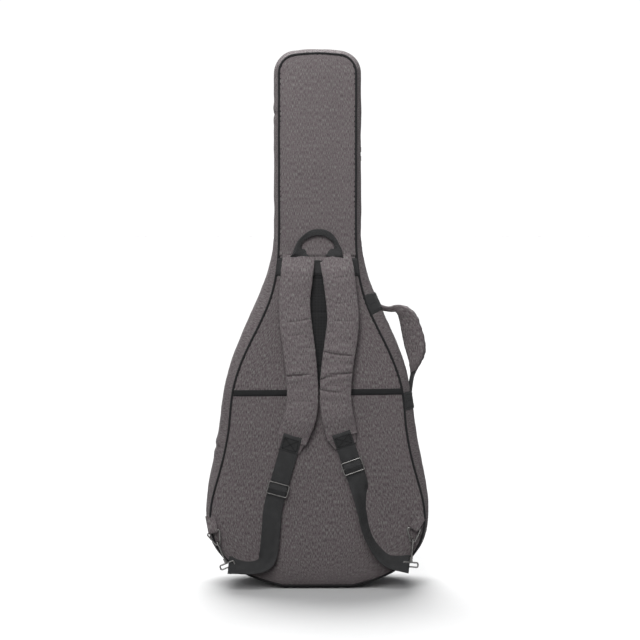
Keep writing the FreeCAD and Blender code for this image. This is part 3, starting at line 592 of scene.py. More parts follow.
def rear_height(x, z):
    """How far the padded harness face stands out, from the middle of the zip."""
    x, z = np.broadcast_arrays(np.asarray(x, float), np.asarray(z, float))
    edge = distance_to(rim(-3.5 * MM)[::3], x, z)
    places = np.stack([x, np.zeros_like(x), z], axis=-1)
    puff = 4.2 * MM * (1 - np.exp(-edge / (10 * MM)))
    soft = wobble(places, 8, 1.6 * MM, 3.1) + wobble(places, 26, 0.7 * MM, 7.7)
    across = wobble(places * (1, 1, 0.35), 60, 0.35 * MM, 1.3)
    seam = -1.6 * MM * np.exp(-((z - YOKE_SEAM) / (2.2 * MM)) ** 2)
    seam += 0.9 * MM * np.exp(-((np.abs(z - YOKE_SEAM) - 7 * MM) / (4 * MM)) ** 2)
    return CASE_DEPTH - 1.2 * MM + puff + (soft + across) * np.clip(edge / (25 * MM), 0, 1) + seam


def lid_height(x, z):
    """The same for the lid's face."""
    x, z = np.broadcast_arrays(np.asarray(x, float), np.asarray(z, float))
    edge = distance_to(rim(-3.5 * MM)[::3], x, z)
    places = np.stack([x, np.ones_like(x), z], axis=-1)
    soft = wobble(places, 8, 1.8 * MM, 5.9) + wobble(places, 26, 0.7 * MM, 2.7)
    puff = 3.4 * MM * (1 - np.exp(-edge / (10 * MM)))
    return lid_face(z) - 1.2 * MM + puff + soft * np.clip(edge / 0.03, 0, 1)


def levels_between(low, high, step, seams=()):
    """Heights from low to high, closer together round the seams and at both ends."""
    levels = [np.arange(low, high, step), [high], low + np.array([1, 2.5, 5]) * MM,
              high - np.array([0.3, 1, 2.5]) * MM]
    levels += [seam + np.arange(-8, 9) * 1.1 * MM for seam in seams]
    levels = np.unique(np.round(np.concatenate(levels), 5))
    return levels[(levels >= low) & (levels <= high)]


def face_points(levels, inset, height, sign, columns=66):
    """A panel's grid, with its height over the zip's plane given by a function of x and z."""
    x = half_width(levels, inset)[:, None] * spread(columns)
    z = np.broadcast_to(levels[:, None], x.shape)
    return np.stack([x, sign * height(x, z), z], axis=2)


# ---------------------------------------------------------------- the two halves of the shell

GUSSET = [(0.0, 0.52), (0.14, 0.9), (0.34, 1.0), (0.58, 1.0), (0.8, 0.66), (1.0, 0.0)]
SEAM_LEVELS = (0.283, 0.960)     # cross seams of the gusset, on the left, where the zip ends


def along_outline():
    """Running length along the seam line."""
    steps = np.linalg.norm(np.roll(LINE, -1, axis=0) - LINE, axis=1)
    return np.concatenate([[0.0], np.cumsum(steps)[:-1]])


def cross_seams():
    """Dents and swells of the gusset where the spine's cross seams are."""
    run = along_outline()
    left = LINE[:, 0] < -0.05
    shape = np.zeros(len(LINE))
    for level in SEAM_LEVELS:
        place = run[left][np.argmin(np.abs(LINE[left, 1] - level))]
        away = run - place
        shape += (-1.6 * MM * np.exp(-(away / (3 * MM)) ** 2)
                  + 1.5 * MM * np.exp(-((away - 0.012) / 0.009) ** 2))
        shape += 1.8 * MM * np.exp(-((away + 0.012) / 0.009) ** 2)
    return shape


def gusset_points(face, sign, seed):
    """The gusset's grid: its hem beside the zip first, the seam with the panel last."""
    profile = spline(GUSSET, 15)
    high = face(LINE[:, 1]) - 1.4 * MM
    dents = cross_seams()
    rows = []
    for share, bulge in [(0.01, 0.4), (0.0, 0.5)] + [tuple(pair) for pair in profile[1:]]:
        first = len(rows) == 0
        flat = at_depth(LINE, share * 0.08)
        middle = math.sin(math.pi * min(share, 1))
        ripple = wobble(flat, 14, 1.5 * MM, seed) + wobble(flat, 42, 0.7 * MM, seed + 4)
        pucker = wobble(flat * (1, 0.3, 1), 150, 0.9 * MM, seed + 9) * math.exp(-((share - 0.86) / 0.1) ** 2)
        hem = wobble(flat * (1, 0.3, 1), 120, 0.5 * MM, seed + 2) * math.exp(-((share - 0.06) / 0.08) ** 2)
        offset = (ripple * middle + pucker + hem + dents * (0.3 + 0.7 * middle)
                  - (2.4 * MM if first else 0.6 * MM * (1 - middle)))
        place = rim(offset, min(bulge, 1.0))
        y = ZIP_EDGE + (high - ZIP_EDGE) * max(share, 0)
        rows.append(at_depth(place, sign * y))
    return np.array(rows)


def loop_at(offset, share, y):
    """The outline moved outwards as rim() does, at a depth."""
    return at_depth(rim(offset, share), y)


def tube_round(name, loop, radius, body, *stands_for):
    """A piping that follows a closed loop round the bag."""
    heading = unit(np.roll(loop, -1, axis=0) - np.roll(loop, 1, axis=0))
    out = np.broadcast_to([0.0, 1.0, 0.0], loop.shape)
    across = unit(np.cross(heading, out))
    return sewn(name, swept(loop, across, out, disc(radius)), BINDING, body, "binding", *stands_for,
                wrap_rows=True, wrap_columns=True)


def zip_part():
    """Which places of the outline carry the zip: all but the spine."""
    left = LINE[:, 0] < 0
    spine = left & (LINE[:, 1] > SPINE[0]) & (LINE[:, 1] < SPINE[1])
    start = int(np.argmax(spine)) + int(spine.sum())
    order = (start + np.arange(int((~spine).sum()))) % len(LINE)
    return order


def teeth_along(name, path, side, up, pitch, body, shift, *stands_for):
    """A zip coil's row of teeth, each a small bent bar that reaches sideways."""
    length = 3.5 * MM
    run = resample(np.concatenate([path, side, up], axis=1),
                   int(np.linalg.norm(np.diff(path, axis=0), axis=1).sum() / pitch))
    place, side, up = run[:, :3], unit(run[:, 3:6]), unit(run[:, 6:])
    heading = unit(np.gradient(place, axis=0))
    place = place + heading * shift
    half, rise = pitch * 0.31, 1.1 * MM
    shape = [(0, 0), (0.25 * length, rise), (0.8 * length, rise * 1.1), (length, 0.3 * rise),
             (length, -0.2 * rise), (0.3 * length, -0.3 * rise)]
    points, faces = [], []
    count = len(shape)
    for sway in (-half, half):
        points.append(np.stack([place + heading * sway + side * a + up * b for a, b in shape], axis=1))
    points = np.concatenate(points, axis=1)
    for k in range(len(place)):
        start = 2 * count * k
        faces.append([start + c for c in reversed(range(count))])
        faces.append([start + count + c for c in range(count)])
        faces += [[start + c, start + (c + 1) % count, start + count + (c + 1) % count, start + count + c]
                  for c in range(count)]
    row = add_mesh(name, points, faces, NYLON, body, smooth=False)
    if stands_for:
        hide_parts(*stands_for)


SKIN = {}      # each half's gusset points, for what is sewn on it


def make_half(side, face, height, sign):
    """One half of the bag: panel, piping, gusset, zip tape, coil and lining."""
    prefix, cad = ("rear", "rear") if side == "case" else ("front", "lid")
    levels = levels_between(8 * MM, 1076.8 * MM, 5 * MM, (YOKE_SEAM,) if side == "case" else ())
    panel = sewn(prefix + "_panel", face_points(levels, 4 * MM, height, sign), SHELL, side, "shell_fabric",
                 prefix + "_panel_cover", prefix + "_panel_foam")
    SKIN[side] = gusset_points(face, sign, 11.0 + sign)
    gusset = sewn(side + "_gusset", SKIN[side], SHELL, side, "shell_fabric",
                  cad + "_gusset_cover", cad + "_gusset_foam", wrap_columns=True)
    edge = face(LINE[:, 1])
    path = loop_at(-1.9 * MM + wobble(at_depth(LINE, edge), 30, 0.4 * MM), 0.0, sign * (edge - 0.3 * MM))
    tube_round(prefix + "_piping_cord", path, 2.3 * MM, side, prefix + "_piping")
    flange = [loop_at(offset * MM, 0, sign * (edge - drop * MM))
              for offset, drop in ((-0.6, 3.0), (0.3, 1.4), (-1.9, 0.6), (-5.5, 0.4))]
    sewn(prefix + "_piping_flange", np.stack(flange), BINDING, side, "binding", wrap_columns=True)
    order = zip_part()
    tape = [loop_at(-2.4 * MM, 0.5, sign * y)[order] for y in np.array([0.05, 3.6, 8, 14]) * MM]
    sewn(side + "_zip_tape_woven", np.stack(tape), TAPE, side, "zip_tape", cad + "_zip_tape")
    path = loop_at(-1.9 * MM, 0.5, sign * 3.6 * MM)[order]
    up = at_depth(NORMAL, 0.0)
    inward = np.broadcast_to([0.0, -sign, 0.0], path.shape)
    teeth_along(side + "_zip_teeth", path, inward, up[order], 2.6 * MM, side, 0.65 * MM * sign,
                cad + "_zip_chain")
    hem = [loop_at(offset * MM, share, sign * y * MM)
           for offset, share, y in ((-2.9, 0.5, 0.1), (-8, 0.4, 0.9), (-14.5, 0.1, 1.6), (-15.5, 0.0, 5))]
    sewn(side + "_hem_tape", np.stack(hem), BINDING, side, "binding", wrap_columns=True)
    inner = edge - 15.5 * MM
    wall = [loop_at(-15.4 * MM, 0, sign * (5 * MM + (inner - 5 * MM) * share))
            for share in np.linspace(0, 1, 9)]
    sewn(side + "_lining_wall", np.stack(wall), LINING_CLOTH, side, "lining", cad + "_gusset_lining",
         wrap_columns=True)
    levels = levels_between(19.5 * MM, 1065 * MM, 9 * MM)
    floor = face_points(levels, 15.3 * MM, lambda x, z: quilted(x, z, face), sign, 44)
    sewn(side + "_lining_floor", floor, LINING_CLOTH, side, "lining", prefix + "_panel_lining")
    along = loop_at(2.2 * MM, 0.5, sign * (ZIP_EDGE + 3.5 * MM))
    stitches(side + "_hem_stitches", along, up, side, material=GREY_THREAD)


def quilted(x, z, face):
    """The lining's height: flat, with a shallow lattice of sewn lines."""
    lattice = np.abs(np.sin((x + z) * 52)) * np.abs(np.sin((x - z) * 52))
    inside = np.clip(distance_to(rim(-15 * MM)[::4], x, z) / 0.02, 0, 1)
    return face(z) - 15.5 * MM - 1.6 * MM * np.sqrt(lattice) * inside


make_half("case", case_face, rear_height, -1)
make_half("lid", lid_face, lid_height, 1)


def make_spine():
    """The fold of cloth that joins the halves on the left."""
    level, spare = LINE[:, 1], 8 * MM
    left = np.flatnonzero((LINE[:, 0] < 0) & (level > SPINE[0] - spare) & (level < SPINE[1] + spare))
    rows = []
    for y, offset in ((-16, -0.9), (-13.5, -0.4), (-11, -0.9), (-5, -1.7), (0, -2.3), (5, -1.7), (11, -0.9),
                      (13.5, -0.4), (16, -0.9)):
        share = 0.5 + 0.25 * abs(y) / 16
        rows.append(loop_at(offset * MM, share, y * MM)[left])
    piece = sewn("spine_fold", np.array(rows), SHELL, None, "shell_fabric", "spine_panel")
    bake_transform(piece)


make_spine()


# ---------------------------------------------------------------- harness side: pocket, yoke, mesh

def on_rear(x, z, lift):
    """Points on the padded harness face, lifted off it."""
    x, z = np.broadcast_arrays(np.asarray(x, float), np.asarray(z, float))
    return np.stack([x, -rear_height(x, z) - lift, z], axis=-1)


MOUTH_SLOPE = 0.010      # the slip pocket's mouth rises a little towards the right


def make_slip_pocket():
    """The low pocket: a second layer of cloth, sewn in with the piping, with a bound mouth."""
    mouth = POCKET_MOUTH[1][2] - 1.5 * MM

    def height(x, z):
        gap = distance_to(rim(-3.5 * MM)[::3], x, z)
        slack = 0.8 * MM * smooth_step(z, mouth - 0.09, mouth) * (1 - np.exp(-gap / (30 * MM)))
        return rear_height(x, z) + 1.5 * MM * (1 - np.exp(-gap / (4 * MM))) + slack

    points = face_points(levels_between(8.5 * MM, mouth, 6 * MM), 4.2 * MM, height, -1)
    points[..., 2] += MOUTH_SLOPE * points[..., 0] * smooth_step(points[..., 2], 0.30, mouth)
    sewn("slip_pocket_cloth", points, SHELL, "case", "shell_fabric", "slip_pocket_panel")
    low = POCKET_MOUTH[0][2]
    rows = np.array([mouth - 3 * MM, mouth, mouth + 1.5 * MM, mouth + 1.2 * MM, mouth - 3 * MM,
                     low + 2 * MM, low, low])
    lifts = np.array([-1.6, -1.4, 0.1, 1.2, 1.7, 1.7, 1.2, -0.2]) * MM
    x = half_width(rows, 4.0 * MM)[:, None] * spread(90)
    z = np.broadcast_to(rows[:, None], x.shape)
    y = -(height(x, z) + lifts[:, None] + wobble(np.stack([x, 0 * x, z], -1), 45, 0.4 * MM))
    tape = np.stack([x, y, z + MOUTH_SLOPE * x], axis=2)
    sewn("slip_pocket_binding_tape", tape, BINDING, "case", "binding", "slip_pocket_binding")
    line = np.stack([x[5], y[5] - 0.1 * MM, z[5] + MOUTH_SLOPE * x[5] + 0.5 * MM], axis=1)[2:-2]
    stitches("pocket_mouth_stitches", line, BACKWARD, "case")


def make_back_mesh():
    """The breathable pad between the shoulder straps, with a bound edge."""
    low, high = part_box("mesh_back_pad")
    levels = np.linspace(low[2], high[2], 120)
    columns = np.linspace(-1, 1, 25)
    half = high[0] * (1 - 0.12 * smooth_step(levels, 0.5, high[2]))
    x = half[:, None] * columns
    z = np.broadcast_to(levels[:, None], x.shape)
    edge = np.minimum(1 - np.abs(columns)[None], 1.0) * half[:, None]
    edge = np.minimum(edge, np.minimum(z - low[2], high[2] - z))
    lift = 1.6 * MM + 3.0 * MM * (1 - np.exp(-edge / (6 * MM)))
    channel = sum(1.2 * MM * np.exp(-((z - level) / (3 * MM)) ** 2) for level in (0.45, 0.56))
    points = on_rear(x, z, lift - channel)
    sewn("back_mesh", points, MESH, "case", "mesh", "mesh_back_pad")
    border = np.concatenate([points[:, 0], points[-1, 1:], points[-2::-1, -1], points[0, -2:0:-1]])
    heading = unit(np.roll(border, -1, axis=0) - np.roll(border, 1, axis=0))
    outward = np.broadcast_to(BACKWARD, border.shape)
    cord = swept(border, unit(np.cross(outward, heading)), outward, rounded(7 * MM, 2.6 * MM, 0.7, 10))
    sewn("back_mesh_binding", cord, BINDING, "case", "binding", wrap_rows=True, wrap_columns=True)


def make_yoke():
    """The webbing across the shoulders, from piping to piping under the straps, with its stitches."""
    low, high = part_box("yoke_webbing")
    levels = np.linspace(low[2] + 1 * MM, high[2] - 1 * MM, 13)
    x = half_width(levels, 1.0 * MM)[:, None] * np.linspace(-1, 1, 70)
    z = levels[:, None] + wobble(np.stack([x, 0 * x, 0 * x], axis=-1), 20, 0.8 * MM)
    z = z - 5 * MM * np.exp(-(x / 0.03) ** 2) * smooth_step(levels, levels[-1] - 0.012, levels[-1])[:, None]
    lift = np.full(len(levels), 3.4 * MM)
    lift[[0, -1]] = -1.0 * MM
    lift[[1, -2]] = 2.8 * MM
    grid = on_rear(x, z, lift[:, None])
    sewn("yoke_web", grid, WEBBING, "case", "webbing", "yoke_webbing")
    for name, row in (("low", 2), ("high", -3)):
        stitches("yoke_stitches_" + name, grid[row] - (0, 0.1 * MM, 0), BACKWARD, "case")


make_slip_pocket()
make_back_mesh()
make_yoke()


# ---------------------------------------------------------------- shoulder straps

# Each side's strap, as x and z in mm: the middle of the pad from the yoke down, the length of its end,
# the adjuster, the webbing's lower run, the hook's eye, the ring's lower end and the seam of its tab. turns
# are how far the webbing is turned about its own line, in radians: at seven places by the adjuster, then at
# each place of its run. Each crease is its depth and the line that it runs along.
STRAPS = {
    "left": {
        "pad": [(-37.5, 674), (-42, 630), (-46, 583), (-38, 494), (-30.5, 415), (-34, 355), (-46.5, 318),
                (-52, 304)],
        "tail_length": 24,
        "glide": (-80, 204),
        "run": [(-94, 120), (-96.5, 92), (-99, 73), (-107, 56), (-122, 48), (-145, 46.5), (-165, 48.5),
                (-180, 50)],
        "turns": [0, 0, 0, 0, 0, 0, 0, 0.03, 0.08, 0.2, 0.5, 0.78, 0.8, 0.7, 0.5],
        "turn_way": 1,
        "eye": (-182, 49),
        "ring_foot": (-200, 92),
        "tab_seam": (-217, 149),
        "hem_slant": -0.02,
        "creases": [(3.6, [(-60, 433), (-45, 434.5), (-26, 435.5)]),
                    (1.6, [(-55, 541), (-30, 545), (-15, 547)]),
                    (0.8, [(-22, 492), (-4, 487)]), (1.0, [(-62, 640), (-40, 630), (-20, 634)])],
    },
    "right": {
        "pad": [(35, 674), (42, 636), (47, 597), (51, 546), (45, 490), (37, 423), (37.5, 370), (47, 322),
                (50, 310)],
        "tail_length": 20,
        "glide": (71, 250),
        "run": [(84, 207), (91, 160), (101, 118), (120, 82), (146, 59), (172, 53), (186, 51)],
        "turns": [0, 0, 0, 0, 0, 0, 0, 0.4, 0.95, 1.05, 0.95, 0.75, 0.6, 0.4],
        "turn_way": -1,
        "eye": (188, 50),
        "ring_foot": (192, 97),
        "tab_seam": (213, 150),
        "hem_slant": 0.04,
        "creases": [(3.2, [(12, 482.5), (32, 477), (66, 474)]),
                    (3.8, [(8, 426), (18, 431), (32, 436), (66, 439)]),
                    (3.0, [(5, 405.5), (24, 402), (44, 399.5)]), (0.9, [(22, 520), (38, 524), (52, 530)]),
                    (1.0, [(24, 636), (44, 630), (62, 634)])],
    },
}
PAD_WIDTH, PAD_COUNT = 64 * MM, 300
SEWN_DEPTH, PAD_DEPTH = 77.5 * MM, 91.5 * MM      # of the pad's middle, at the yoke and clear of the bag
WEB_WIDTH = 38 * MM


def facing_right(vectors):
    """The same vectors across a path, turned to point to the right."""
    return vectors * np.sign(vectors[:, :1].mean())


def glide_heading(spec):
    """Unit vector, as x and z, from the end of the pad down to the adjuster."""
    return unit(np.array(spec["glide"], float) - np.array(spec["pad"][-1], float))


def make_shoulder_pad(side, spec):
    """A padded strap: a lens of foam in cloth with rolled edges, creases and a slanted hem."""
    body = side + "_strap"
    flat = spline(np.array(spec["pad"]) * MM, PAD_COUNT)
    share = np.linspace(0, 1, PAD_COUNT)
    rise = smooth_step(YOKE_SEAM + 3 * MM - flat[:, 1], 0, 34 * MM)
    middle = SEWN_DEPTH + (PAD_DEPTH - SEWN_DEPTH) * rise - 3.2 * MM * smooth_step(share, 0.87, 1.0)
    path = at_depth(flat, -middle)
    _, across, outward = frame_along(path, BACKWARD)
    across = facing_right(across)
    run = np.concatenate([[0], np.cumsum(np.linalg.norm(np.diff(path, axis=0), axis=1))])
    width = PAD_WIDTH * (1 - 0.05 * smooth_step(share, 0.9, 1)) * (1 + 0.012 * np.sin(run * 38 + 1))
    thick = (5 * MM + 9.5 * MM * smooth_step(run, 0, 0.05)
             - 7.6 * MM * smooth_step(run, run[-1] - 0.042, run[-1] - 0.004))
    section = rounded(1, 1, 0.42, 44)
    side_share = section[:, 0] * 2
    sections = section[None] * np.stack([width, thick], axis=1)[:, None]
    back = (section[:, 1] < 0)[None]
    fullness = (smooth_step(run, 0, 0.03) * smooth_step(run[-1] - run, 0, 0.05))[:, None]
    crown = (1 - np.abs(side_share)[None] ** 2.6) * 1.6 * MM * fullness
    crown_out = np.where(back, -0.2, 1.0) * crown * np.sign(section[:, 1])
    sections = sections + np.stack([np.zeros_like(crown), crown_out], axis=2)
    points = swept(path, across, outward, sections)
    held = (np.abs(side_share)[None] > 0.95) | (run[:, None] < 4 * MM) | (run[:, None] > run[-1] - 4 * MM)
    points = settled(points, held | (section[:, 1] < -0.1)[None], spare=0.007)
    dent = np.zeros(points.shape[:2])
    for depth, crease in spec["creases"]:
        crease = np.array(crease) * MM
        away = points[..., 2] - np.interp(points[..., 0], crease[:, 0], crease[:, 1])
        reach = smooth_step(points[..., 0], crease[0, 0] - 7 * MM, crease[0, 0] + 3 * MM)
        reach = reach * (1 - smooth_step(points[..., 0], crease[-1, 0] - 3 * MM, crease[-1, 0] + 7 * MM))
        dent -= depth * MM * np.exp(-(away / (1.8 * MM)) ** 2) * reach
        for swell in (-8 * MM, 8 * MM):
            dent += 0.45 * depth * MM * np.exp(-((away - swell) / (6 * MM)) ** 2) * reach
    dent += wobble(points, 24, 1.1 * MM, 2.0 + len(side)) + wobble(points, 70, 0.5 * MM, 6.0)
    dent *= smooth_step(run, 0.004, 0.03)[:, None]
    facing = smooth_step(section[:, 1] * 2, -0.2, 0.6)[None]
    points = points + outward[:, None] * (dent * facing)[..., None]
    edge_pucker = wobble(points, 120, 0.7 * MM, 9.0) * (np.abs(side_share) > 0.8)[None]
    points = points + across[:, None] * edge_pucker[..., None]
    slant = spec["hem_slant"] * smooth_step(share, 0.86, 1.0)[:, None] * side_share[None] * PAD_WIDTH / 2
    points[..., 2] += slant
    cloth = band(side + "_pad_cloth", points, STRAP_CLOTH_PAINTED_LIGHT, None, "shell_fabric",
                 side + "_shoulder_pad", side + "_pad_mesh")
    under = swept(path[16:-8], across[16:-8], outward[16:-8], rounded(PAD_WIDTH - 12 * MM, 2.2 * MM, 0.4, 16))
    under += -outward[16:-8, None] * (thick[16:-8, None, None] / 2 + 0.1 * MM)
    pieces = [cloth, band(side + "_pad_underside", under, MESH, None, "mesh")]
    for name, place in (("inner", -0.4), ("outer", 0.4)):
        column = int(np.argmin(np.abs(side_share / 2 - place) + (section[:, 1] < 0)))
        line = points[12:-16, column] + outward[12:-16] * 0.05 * MM
        pieces.append(stitches(f"{side}_pad_{name}_stitches", line, outward[12:-16], None,
                               material=GREY_THREAD))
    for piece in pieces:
        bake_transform(piece)


def strap_end(side, spec):
    """The pad's tapered end and the stitched webbing tab on it."""
    body = side + "_strap"
    count = 24
    heading = glide_heading(spec)
    start = np.array(spec["pad"][-1], float) * MM
    flat = resample(np.array([start - heading * 4 * MM, start + heading * spec["tail_length"] * MM]), count)
    path = at_depth(flat, np.linspace(-87.7, -83.6, count) * MM)
    _, across, outward = frame_along(path, BACKWARD)
    across = facing_right(across)
    share = np.linspace(0, 1, count)
    width = (61 - 17 * share ** 0.9) * MM
    thick = (6.5 - 4.2 * smooth_step(share, 0, 0.8)) * MM
    section = rounded(1, 1, 0.4, 28)
    points = swept(path, across, outward, section[None] * np.stack([width, thick], axis=1)[:, None])
    points[..., 2] += spec["hem_slant"] * (1 - share)[:, None] * section[None, :, 0] * PAD_WIDTH
    points += outward[:, None] * (wobble(points, 60, 1.0 * MM, 4.0))[..., None]
    band(side + "_pad_tail", points, STRAP_CLOTH_PAINTED_LIGHT, body, "shell_fabric")
    rise = np.array([heading[0], 0, heading[1]])
    tab_path = np.concatenate([[path[0] - rise * 5.5 * MM], path[1:]])
    tab_path[:, 1] -= thick / 2 + (1.9 - 0.6 * share) * MM
    tucked_end = tab_path[-1:] + [[heading[0] * 0.002, 1.2 * MM, heading[1] * 0.002]]
    tab_path = np.concatenate([tab_path, tucked_end])
    _, tab_across, tab_out = frame_along(tab_path, BACKWARD)
    tab_across = facing_right(tab_across)
    tab = swept(tab_path, tab_across, tab_out, rounded(WEB_WIDTH, 2.6 * MM, 0.35, 20))
    band(side + "_stitched_tab", tab, WEBBING, body, "webbing", side + "_webbing_tab")
    top, low = tab_path[2], tab_path[-4]
    wide = tab_across[2] * 14.5 * MM
    lift = np.array([0, -1.45 * MM, 0])
    corners = [top - wide + lift, top + wide + lift, low + wide + lift, low - wide + lift]
    for number, (a, b) in enumerate([(0, 1), (1, 2), (2, 3), (3, 0), (0, 2), (1, 3)]):
        line = np.linspace(corners[a], corners[b], 12)
        stitches(f"{side}_box_stitch_{number}", line, BACKWARD, body, 3.0 * MM, 1.7 * MM)


def turned(across, outward, turn):
    """Both vectors turned about the path by an angle at each point."""
    turn = turn[:, None]
    return across * np.cos(turn) + outward * np.sin(turn), outward * np.cos(turn) - across * np.sin(turn)


def make_webbing(side, spec):
    """The lower webbing: from the pad's tab, through the adjuster, down and across to its eye."""
    heading = glide_heading(spec)
    glide = np.array(spec["glide"], float)
    flat = [tuple(np.array(spec["pad"][-1], float) + heading * 16)]
    flat += [tuple(glide + heading * step) for step in (-50, -27, -12, 0, 12, 27)]
    deep = [-85.0] * len(flat) + list(np.linspace(-86.2, -86.0, len(spec["run"])))
    stretch = 30     # a radian counts as this many mm when the places are spaced out
    points = [(x, y, z, stretch * turn) for (x, z), y, turn in zip(flat + spec["run"], deep, spec["turns"])]
    fine = spline(points, 150)
    path = fine[:, :3] * MM
    heading, across, _ = frame_along(path, BACKWARD)
    across *= np.sign((across[:, 0] + 0.3 * across[:, 2]).mean())
    outward = np.cross(heading, across)
    outward *= np.sign(-outward[:, 1:2].mean())
    across, outward = turned(across, outward, spec["turn_way"] * fine[:, 3] / stretch)
    cup = rounded(WEB_WIDTH, 2.1 * MM, 0.35, 24)
    bow = (1 - (cup[:, 0] / (WEB_WIDTH / 2)) ** 2) * 0.5 * MM
    grid = swept(path, across, outward, cup + np.stack([0 * bow, bow], axis=1))
    loose = 0.3 * MM + 0.9 * MM * smooth_step(glide[1] * MM - path[:, 2], 0.02, 0.06)
    grid = grid + outward[:, None] * wobble(grid, 45, 1.0, 3.0)[..., None] * loose[:, None, None]
    band(side + "_web", grid, WEBBING, side + "_strap", "webbing", side + "_lower_webbing")


for side_name, side_spec in STRAPS.items():
    make_shoulder_pad(side_name, side_spec)
    strap_end(side_name, side_spec)
    make_webbing(side_name, side_spec)


# ---------------------------------------------------------------- haul loop

def make_haul_loop():
    """Webbing folded along its length at the top, whose flared ends are sewn in at the yoke."""
    # x, y, z, width and thickness in mm, and the turn about the loop's own line in radians
    loop = [(-36.0, -78.0, 670, 39, 3.2, 0), (-36.6, -79.6, 678, 35, 5.0, 0.25),
            (-38.6, -81.0, 691, 14, 6.4, 0.4), (-35.4, -81.4, 701, 10, 6, 0.35),
            (-23.2, -82, 713, 11, 5.8, 0.2), (-11, -82.4, 719.6, 12.5, 5.6, 0.1), (2, -82.4, 721.3, 13, 5.6, 0),
            (17, -82.4, 719, 12.5, 5.6, 0.1), (29.3, -82, 710, 11, 5.8, 0.3), (37.2, -81.4, 699, 10, 6, 0.7),
            (39.6, -81.0, 691, 14, 6.4, 0.6), (36.5, -79.6, 678, 35, 5.0, 0.3), (34, -78.0, 670, 39, 3.2, 0)]
    stretch = 20     # a radian counts as this many mm when the places are spaced out
    fine = spline([(*place, stretch * turn) for *place, turn in loop], 120)
    path = fine[:, :3] * MM
    _, across, outward = frame_along(path, BACKWARD)
    across, outward = turned(across, outward, fine[:, 5] / stretch)
    section = rounded(1, 1, 0.5, 26)
    grid = swept(path, across, outward, section[None] * fine[:, None, 3:5] * MM)
    groove = np.exp(-(section[:, 0] / 0.05) ** 2) * (section[:, 1] > 0)
    grid = grid - outward[:, None] * (groove[None] * 0.8 * MM)[..., None]
    grid = grid + outward[:, None] * wobble(grid, 90, 0.9 * MM, 1.0)[..., None]
    band("haul_web", grid, WEBBING, "haul_handle", "webbing", "haul_handle")


make_haul_loop()


# ---------------------------------------------------------------- adjusters, rings and their tabs

def wire_loop(name, corners, radius, bend, body, node_name):
    """A closed loop of round wire whose corners are rounded."""
    corners = np.asarray(corners, float)
    path = []
    for k, corner in enumerate(corners):
        before, after = corners[k - 1], corners[(k + 1) % len(corners)]
        enter = corner + unit(before - corner) * bend
        leave = corner + unit(after - corner) * bend
        for share in np.linspace(0, 1, 7):
            path.append(enter * (1 - share) ** 2 + corner * 2 * share * (1 - share) + leave * share ** 2)
    path = resample(np.array(path + path[:1]), 90)[:-1]
    heading = unit(np.roll(path, -1, axis=0) - np.roll(path, 1, axis=0))
    across = unit(np.cross(heading, np.broadcast_to(BACKWARD, path.shape)))
    wire = swept(path, across, np.cross(across, heading), disc(radius, 12))
    sewn(name, wire, DARK_NICKEL, body, "hardware", node_name, wrap_rows=True, wrap_columns=True)


def make_adjuster(side, spec):
    """A wire adjuster: a rounded frame with a bar across its middle, which the webbing goes over."""
    low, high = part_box(side + "_triglide")
    heading = glide_heading(spec)
    along = np.array([heading[0], 0, heading[1]])
    across = np.array([-heading[1], 0, heading[0]])
    middle = np.array([spec["glide"][0] * MM, (low[1] + high[1]) / 2, spec["glide"][1] * MM])
    half, reach = 21 * MM, 12.2 * MM
    corners = [middle + across * a * half + along * b * reach
               for a, b in ((-1, -1), (1, -1), (1, 1), (-1, 1))]
    body = side + "_adjuster"
    wire_loop(side + "_adjuster_frame", corners, 1.2 * MM, 3.5 * MM, body, side + "_triglide")
    path = resample(np.array([middle - across * half, middle + across * half]), 8)
    _, wire_across, wire_out = frame_along(path, BACKWARD)
    bar = swept(path, wire_across, wire_out, disc(1.3 * MM, 12))
    band(side + "_adjuster_bar", bar, DARK_NICKEL, body, "hardware")
    # distance along the strap and depth, in mm, of the webbing that passes over the bar
    fold = [(-13, -87.5), (-11.5, -87.6), (-5.5, -89.6), (0, -91.7), (5.5, -89.6), (11.5, -87.6), (13, -87.5)]
    line = spline([(middle[0] + along[0] * step * MM, y * MM, middle[2] + along[2] * step * MM)
                   for step, y in fold], 40)
    out = unit(np.cross(np.gradient(line, axis=0), across))
    out *= np.sign(-out[:, 1:2])
    over = swept(line, np.broadcast_to(across, line.shape), out, rounded(36.5 * MM, 1.3 * MM, 0.35, 20))
    band(side + "_adjuster_webbing", over, WEBBING, body, "webbing")


